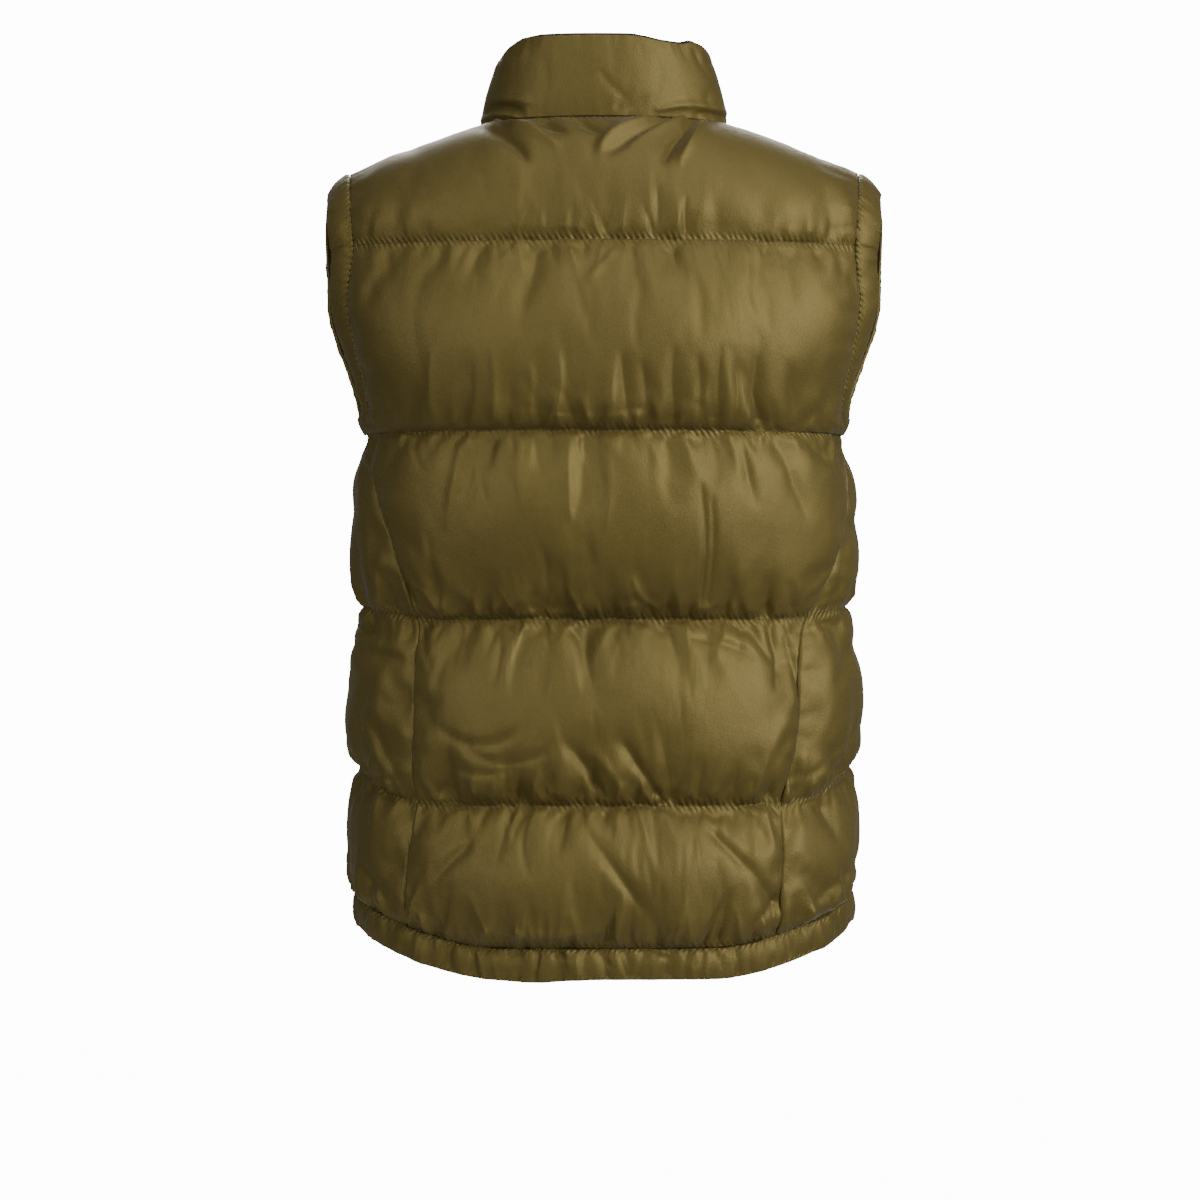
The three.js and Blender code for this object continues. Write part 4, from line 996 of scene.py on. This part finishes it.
# Shader maths: a socket that takes plain operators
class Flow:
    def __init__(self, tree, socket):
        self.tree = tree
        self.socket = socket

    @staticmethod
    def feed(tree, slot, value):
        if isinstance(value, Flow):
            tree.links.new(value.socket, slot)
        else:
            slot.default_value = value

    def make(self, kind, inputs, settings=None, output=0):
        # Any other node: its settings first, then its inputs
        node = self.tree.nodes.new(kind)
        for name, value in (settings or {}).items():
            setattr(node, name, value)
        for name, value in inputs.items():
            Flow.feed(self.tree, node.inputs[name], value)
        return Flow(self.tree, node.outputs[output])

    def math(self, operation, first, second=0.0):
        return self.make("ShaderNodeMath", {0: first, 1: second}, {"operation": operation})

    def __add__(self, other):
        return self.math("ADD", self, other)

    def __radd__(self, other):
        return self.math("ADD", other, self)

    def __sub__(self, other):
        return self.math("SUBTRACT", self, other)

    def __rsub__(self, other):
        return self.math("SUBTRACT", other, self)

    def __mul__(self, other):
        return self.math("MULTIPLY", self, other)

    def __rmul__(self, other):
        return self.math("MULTIPLY", other, self)

    def __truediv__(self, other):
        return self.math("DIVIDE", self, other)

    def __rtruediv__(self, other):
        return self.math("DIVIDE", other, self)

    def __pow__(self, other):
        return self.math("POWER", self, other)


def toned(factor, dark, light):
    colours = {"Factor": factor, 6: dark, 7: light}
    return factor.make("ShaderNodeMix", colours, {"data_type": "RGBA"}, output=2)


def newMaterial(name, constants):
    material = bpy.data.materials.new(name)
    material.use_nodes = True
    tree = material.node_tree
    shader = tree.nodes["Principled BSDF"]
    for key, value in constants.items():
        shader.inputs[key].default_value = value
    coordinates = tree.nodes.new("ShaderNodeTexCoord")
    return material, shader, Flow(tree, coordinates.outputs["Object"])


satin = {"dark": (0.108, 0.078, 0.0135, 1), "light": (0.155, 0.116, 0.023, 1), "roughness": 0.56,
         "metallic": 0.5, "stitchPitch": 0.0048, "stitchReach": 0.0042, "stitchDepth": 0.9}


def satinCloth():
    material, shader, place = newMaterial("satinCloth", {
        "Metallic": satin["metallic"], "Sheen Weight": 0.12, "Sheen Roughness": 0.4})
    tree = material.node_tree
    cloudy = place.make("ShaderNodeTexNoise", {"Vector": place, "Scale": 9.0, "Detail": 2.0})
    tree.links.new(toned(cloudy, satin["dark"], satin["light"]).socket, shader.inputs["Base Color"])
    weave = place.make("ShaderNodeTexNoise", {"Vector": place, "Scale": 1500.0, "Detail": 1.0})
    roughness = satin["roughness"] + (weave - 0.5) * 0.12 + (cloudy - 0.5) * 0.06
    tree.links.new(roughness.socket, shader.inputs["Roughness"])
    ripple = place.make("ShaderNodeTexNoise", {"Vector": place, "Scale": 120.0, "Detail": 2.0})
    sewnMap = tree.nodes.new("ShaderNodeUVMap")
    sewnMap.uv_map = "sewn"
    split = tree.nodes.new("ShaderNodeSeparateXYZ")
    tree.links.new(sewnMap.outputs[0], split.inputs[0])
    lengthwise, away = Flow(tree, split.outputs[0]), Flow(tree, split.outputs[1])
    turns = lengthwise * (2 * math.pi / satin["stitchPitch"]) + (ripple - 0.5) * 3
    near = (away / satin["stitchReach"]) ** 2
    ticks = place.math("SINE", turns) * place.math("POWER", 2.718, near * -1) * satin["stitchDepth"]
    grain = place.make("ShaderNodeTexNoise", {"Vector": place, "Scale": 650.0, "Detail": 1.0})
    height = weave * 0.3 + grain * 0.35 + ripple * 0.35 + ticks
    bump = place.make("ShaderNodeBump", {"Height": height, "Strength": 0.6, "Distance": 0.0007})
    tree.links.new(bump.socket, shader.inputs["Normal"])
    return material


def plainFinish(name, colour, roughness, metallic, grain, strength, gloss=0.5):
    material, shader, place = newMaterial(name, {"Metallic": metallic, "Specular IOR Level": gloss})
    tree = material.node_tree
    speckle = place.make("ShaderNodeTexNoise", {"Vector": place, "Scale": grain, "Detail": 2.0})
    darker = tuple(c * 0.8 for c in colour[:3]) + (1,)
    tree.links.new(toned(speckle, darker, colour).socket, shader.inputs["Base Color"])
    uneven = roughness + (speckle - 0.5) * 0.15
    tree.links.new(uneven.socket, shader.inputs["Roughness"])
    bump = place.make("ShaderNodeBump", {"Height": speckle, "Strength": strength, "Distance": 0.0003})
    tree.links.new(bump.socket, shader.inputs["Normal"])
    return material


shell = satinCloth()
darkLining = plainFinish("darkLining", (0.015, 0.015, 0.023, 1), 0.75, 0.0, 900.0, 0.3, 0.15)
zipTapeCloth = plainFinish("zipTapeCloth", (0.05, 0.04, 0.013, 1), 0.8, 0.0, 1200.0, 0.5)
zipTeethPlastic = plainFinish("zipTeethPlastic", (0.085, 0.066, 0.018, 1), 0.45, 0.0, 300.0, 0.1)
zipMetal = plainFinish("zipMetal", (0.05, 0.045, 0.034, 1), 0.45, 0.9, 500.0, 0.1)
stitchThread = plainFinish("stitchThread", (0.085, 0.068, 0.024, 1), 0.6, 0.0, 1500.0, 0.3)


def slotOf(name):
    if name == "collarLining" or "shoulderSeam" in name:
        return "lining_dark"
    return "zip_tape" if "zipEdge" in name else "zip_teeth" if name == "zipTeeth" else "shell_satin"


standsFor = {"backPuff": "back_panel", "frontPuffLeft": "front_left", "frontPuffRight": "front_right",
             "collarPuff": "collar", "collarLining": "collar_lining", "hemPuff": "hem_band",
             "armBandLeft": "armhole_band_left", "armBandRight": "armhole_band_right"}
for name, obj in pieces.items():
    outside = {"zip_tape": zipTapeCloth, "lining_dark": darkLining}.get(slotOf(name), shell)
    obj.data.materials.append(outside)
    obj.data.materials.append(outside if "armBand" in name or name == "hemPuff" else darkLining)
for name in ("zip_tape_left", "zip_tape_right", "zip_chain", "zip_slider", "zip_pull"):
    finish = zipTapeCloth if "tape" in name else zipTeethPlastic if "chain" in name else zipMetal
    nodes[name].data.materials.clear()
    nodes[name].data.materials.append(finish)

print("sewing and zip teeth")


def newTree(name, sizes):
    # A node tree that grows something along lines, with named inputs for its sizes
    tree = bpy.data.node_groups.new(name, "GeometryNodeTree")
    tree.interface.new_socket(name="Lines", in_out="INPUT", socket_type="NodeSocketGeometry")
    for label, value in sizes.items():
        kind = "NodeSocketInt" if isinstance(value, int) else "NodeSocketFloat"
        tree.interface.new_socket(name=label, in_out="INPUT", socket_type=kind).default_value = value
    tree.interface.new_socket(name="Mesh", in_out="OUTPUT", socket_type="NodeSocketGeometry")
    entry = tree.nodes.new("NodeGroupInput")
    return tree, {label: Flow(tree, entry.outputs[label]) for label in ["Lines", *sizes]}


def evenPoints(ask):
    curve = ask["Lines"].make("GeometryNodeMeshToCurve", {"Mesh": ask["Lines"]})
    spaced = {"Curve": curve, "Length": ask["Spacing"]}
    return curve.make("GeometryNodeResampleCurve", spaced, {"mode": "LENGTH"})


def endTree(points, shape, rotation, finish):
    # Places the shape on the points, then makes it real and gives it its finish
    placed = points.make("GeometryNodeInstanceOnPoints", {
        "Points": points, "Instance": shape, "Rotation": rotation})
    real = points.make("GeometryNodeRealizeInstances", {"Geometry": placed})
    done = points.make("GeometryNodeSetMaterial", {"Geometry": real, "Material": finish})
    leave = points.tree.nodes.new("NodeGroupOutput")
    points.tree.links.new(done.socket, leave.inputs[0])


def combined(flow, x=0.0, y=0.0, z=0.0):
    return flow.make("ShaderNodeCombineXYZ", {"X": x, "Y": y, "Z": z})


sewing = {"Spacing": 0.0048, "Length": 0.0032, "Thickness": 0.0006, "Wander": 0.25, "Seed": 7}


def sewingTree():
    tree, ask = newTree("sewing", sewing)
    lines, even = ask["Lines"], evenPoints(ask)
    stitch = lines.make("GeometryNodeMeshUVSphere", {"Segments": 6, "Rings": 4, "Radius": 0.5})
    sized = lines.make("GeometryNodeTransform", {
        "Geometry": stitch, "Scale": combined(lines, ask["Thickness"], ask["Thickness"], ask["Length"])})
    tangent = lines.make("GeometryNodeInputTangent", {})
    drift = lines.make("FunctionNodeRandomValue", {
        0: combined(lines, -1.0, -1.0, -1.0), 1: combined(lines, 1.0, 1.0, 1.0), "Seed": ask["Seed"]},
        {"data_type": "FLOAT_VECTOR"})
    drifted = lines.make("ShaderNodeVectorMath", {0: drift, "Scale": ask["Wander"]}, {"operation": "SCALE"})
    aim = lines.make("ShaderNodeVectorMath", {0: tangent, 1: drifted}, {"operation": "ADD"})
    turn = lines.make("FunctionNodeAlignRotationToVector", {"Vector": aim}, {"axis": "Z"})
    endTree(even, sized, turn, stitchThread)
    return tree


zipTeeth = {"Spacing": 0.00135, "Reach": 0.0027, "Tooth height": 0.0019, "Tooth thickness": 0.0027}


def zipTeethTree():
    tree, ask = newTree("zipTeeth", zipTeeth)
    lines, even = ask["Lines"], evenPoints(ask)
    root = lines.make("GeometryNodeMeshCube", {
        "Size": combined(lines, ask["Reach"] * 0.62, ask["Tooth thickness"], ask["Tooth height"])})
    rooted = lines.make("GeometryNodeTransform", {
        "Geometry": root, "Translation": combined(lines, ask["Reach"] * 0.69)})
    head = lines.make("GeometryNodeMeshCube", {
        "Size": combined(lines, ask["Reach"] * 0.9, ask["Tooth thickness"] * 0.8,
                         ask["Tooth height"] * 0.62)})
    headed = lines.make("GeometryNodeTransform", {"Geometry": head, "Translation": combined(lines, 0.0)})
    tooth = lines.tree.nodes.new("GeometryNodeJoinGeometry")
    for part in (headed, rooted):
        tree.links.new(part.socket, tooth.inputs[0])
    tangent = lines.make("GeometryNodeInputTangent", {})
    number = lines.make("GeometryNodeInputIndex", {})
    parity = lines.math("MODULO", number, 2.0) * 2.0 - 1.0
    upright = lines.make("FunctionNodeAlignRotationToVector", {"Vector": tangent}, {"axis": "Z"})
    turn = lines.make("FunctionNodeAlignRotationToVector", {
        "Rotation": upright, "Vector": combined(lines, parity)}, {"axis": "X", "pivot_axis": "Z"})
    endTree(even, Flow(tree, tooth.outputs[0]), turn, zipTeethPlastic)
    return tree


def grown(name, tree, lines, sizes):
    # Runs a tree along some lines and keeps the result as a plain mesh
    points, edges = [], []
    for line in lines:
        edges += [(len(points) + k, len(points) + k + 1) for k in range(len(line) - 1)]
        points += (np.asarray(line) * mm).tolist()
    mesh = bpy.data.meshes.new(name + "Lines")
    mesh.from_pydata(points, edges, [])
    carrier = bpy.data.objects.new(name + "Lines", mesh)
    bpy.context.scene.collection.objects.link(carrier)
    modifier = carrier.modifiers.new("grown", "NODES")
    modifier.node_group = tree
    for item in tree.interface.items_tree:
        if item.in_out == "INPUT" and item.name in sizes:
            modifier[item.identifier] = sizes[item.name]
    evaluated = carrier.evaluated_get(bpy.context.evaluated_depsgraph_get())
    plain = bpy.data.objects.new(name, bpy.data.meshes.new_from_object(evaluated))
    bpy.data.objects.remove(carrier)
    bpy.context.scene.collection.objects.link(plain)
    print(name, len(plain.data.polygons), "faces")
    return plain


# Thread lies just proud of the outer cloth, in the bottom of each quilt line
thread = {"proud": 0.25, "inset": 1.2}
threadLines = []
for panel in (backPanel, frontLeft, frontRight):
    for channel in range(4):
        row = int(np.where(panel["channel"] == channel)[0][-1])
        threadLines.append((panel["outer"][row] + panel["normals"][row] * thread["proud"])[3:-3])
for ring in (neckRing, hemRing):
    raised = ring["outer"] + ring["normals"] * thread["proud"]
    threadLines.append((raised - ring["off"] * thread["inset"])[6:-6])
pieces["sewingThread"] = grown("sewingThread", sewingTree(), threadLines, sewing)

# The teeth follow the tapes, which bend at every third of these steps
tapeSteps = {"yoke": [0, 0.16, 0.34, 0.54, 0.74, 0.9, 1], "channel": [0.07, 0.2, 0.38, 0.58, 0.78, 0.93, 1]}
tapeStops = [(channel, t) for channel in range(5) for t in tapeSteps["yoke" if channel == 0 else "channel"]]
tapeStops = tapeStops[::3] + tapeStops[-1:]
collarZip = np.array([mixed(neckRing["base"][0], neckTop[0], at) for at in (1, 0.8, 0.4)])
panelZip = np.array([rowPoints("front", 1, np.zeros(1), channel, float(t))[0] for channel, t in tapeStops])
zipEnd = hemRing["base"][:1] + hemRing["off"][:1] * hem["height"] * 0.96
zipLine = np.concatenate([collarZip, panelZip, zipEnd])
zipLine[:, 0] = 0
sliderTop = 13.2  # the closed teeth begin below the slider
lengths = np.concatenate([[0], np.cumsum(np.linalg.norm(np.diff(zipLine, axis=0), axis=-1))])
startPoint = np.array([np.interp(sliderTop, lengths, zipLine[:, axis]) for axis in range(3)])
zipLine = np.concatenate([startPoint[None], zipLine[lengths > sliderTop]])
pieces["zipTeeth"] = grown("zipTeeth", zipTeethTree(), [zipLine], zipTeeth)
standsFor["zipTeeth"] = "zip_chain"

for name, obj in pieces.items():
    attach(obj, "vest")
    if name in standsFor:
        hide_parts(standsFor[name])
    slotOf(name)
    name in standsFor and name not in ("collarLining", "zipTeeth")
cuts = {"back": backPanel["base"], "front": frontLeft["base"], "collar": collarMiddles,
        "collar lining": liningOuter, "hem band": hemMiddles, "arm band": armBand["middles"]}
for name, grid in cuts.items():
    print("cut of the", name, flatSize(grid))

print("setting up the studio")
studio = {"sensor": 36, "lens": 112.5, "floorHeight": -1.45, "floorSize": 12, "floorGlow": 13.5,
          "world": 0.1, "backdrop": 14.0, "spread": 75, "aim": (0, 0, -0.35)}
camera = bpy.data.objects.new("camera", bpy.data.cameras.new("camera"))
camera.data.sensor_width = studio["sensor"]
camera.data.lens = studio["lens"]
camera.location = (eye["x"] * mm, eye["distance"] * mm, eye["z"] * mm)
camera.rotation_euler = (math.radians(90), 0, math.radians(180))
bpy.context.scene.collection.objects.link(camera)
bpy.context.scene.camera = camera

floorMesh = bpy.data.meshes.new("floor")
half = studio["floorSize"] / 2
floorCorners = [(x * half, y * half, studio["floorHeight"]) for x, y in ((-1, -1), (1, -1), (1, 1), (-1, 1))]
floorMesh.from_pydata(floorCorners, [], [(0, 1, 2, 3)])
floor = bpy.data.objects.new("floor", floorMesh)
bpy.context.scene.collection.objects.link(floor)
paleFloor = plainFinish("paleFloor", (0.9, 0.9, 0.89, 1), 0.9, 0.0, 5.0, 0.0)
floorShader = paleFloor.node_tree.nodes["Principled BSDF"]
floorShader.inputs["Emission Strength"].default_value = studio["floorGlow"]
floorRays = paleFloor.node_tree.nodes.new("ShaderNodeLightPath")
paleFloor.node_tree.links.new(floorRays.outputs["Is Camera Ray"], floorShader.inputs["Emission Color"])
floor.data.materials.append(paleFloor)

world = bpy.data.worlds.new("studio")
world.use_nodes = True
world.node_tree.nodes["Background"].inputs["Color"].default_value = (1, 1, 1, 1)
rays = world.node_tree.nodes.new("ShaderNodeLightPath")
seen = Flow(world.node_tree, rays.outputs["Is Camera Ray"])
brightness = studio["world"] + seen * (studio["backdrop"] - studio["world"])
world.node_tree.links.new(brightness.socket, world.node_tree.nodes["Background"].inputs["Strength"])
bpy.context.scene.world = world

lamps = table(["x", "y", "z", "size", "power"], [
    [-1.9, 1.6, 0.5, 1.5, 14], [1.7, 2.1, 0.35, 1.5, 5], [-0.3, 1.1, 2.0, 1.8, 5.5], [0, -2.4, 1.0, 1.6, 14]])
for x, y, z, size, power in zip(*lamps.values()):
    light = bpy.data.lights.new("softbox", "AREA")
    light.size = float(size)
    light.energy = float(power)
    light.spread = math.radians(studio["spread"])
    lamp = bpy.data.objects.new("softbox", light)
    lamp.location = (float(x), float(y), float(z))
    aim = Vector(studio["aim"]) - Vector(lamp.location)
    lamp.rotation_euler = aim.to_track_quat("-Z", "Y").to_euler()
    bpy.context.scene.collection.objects.link(lamp)
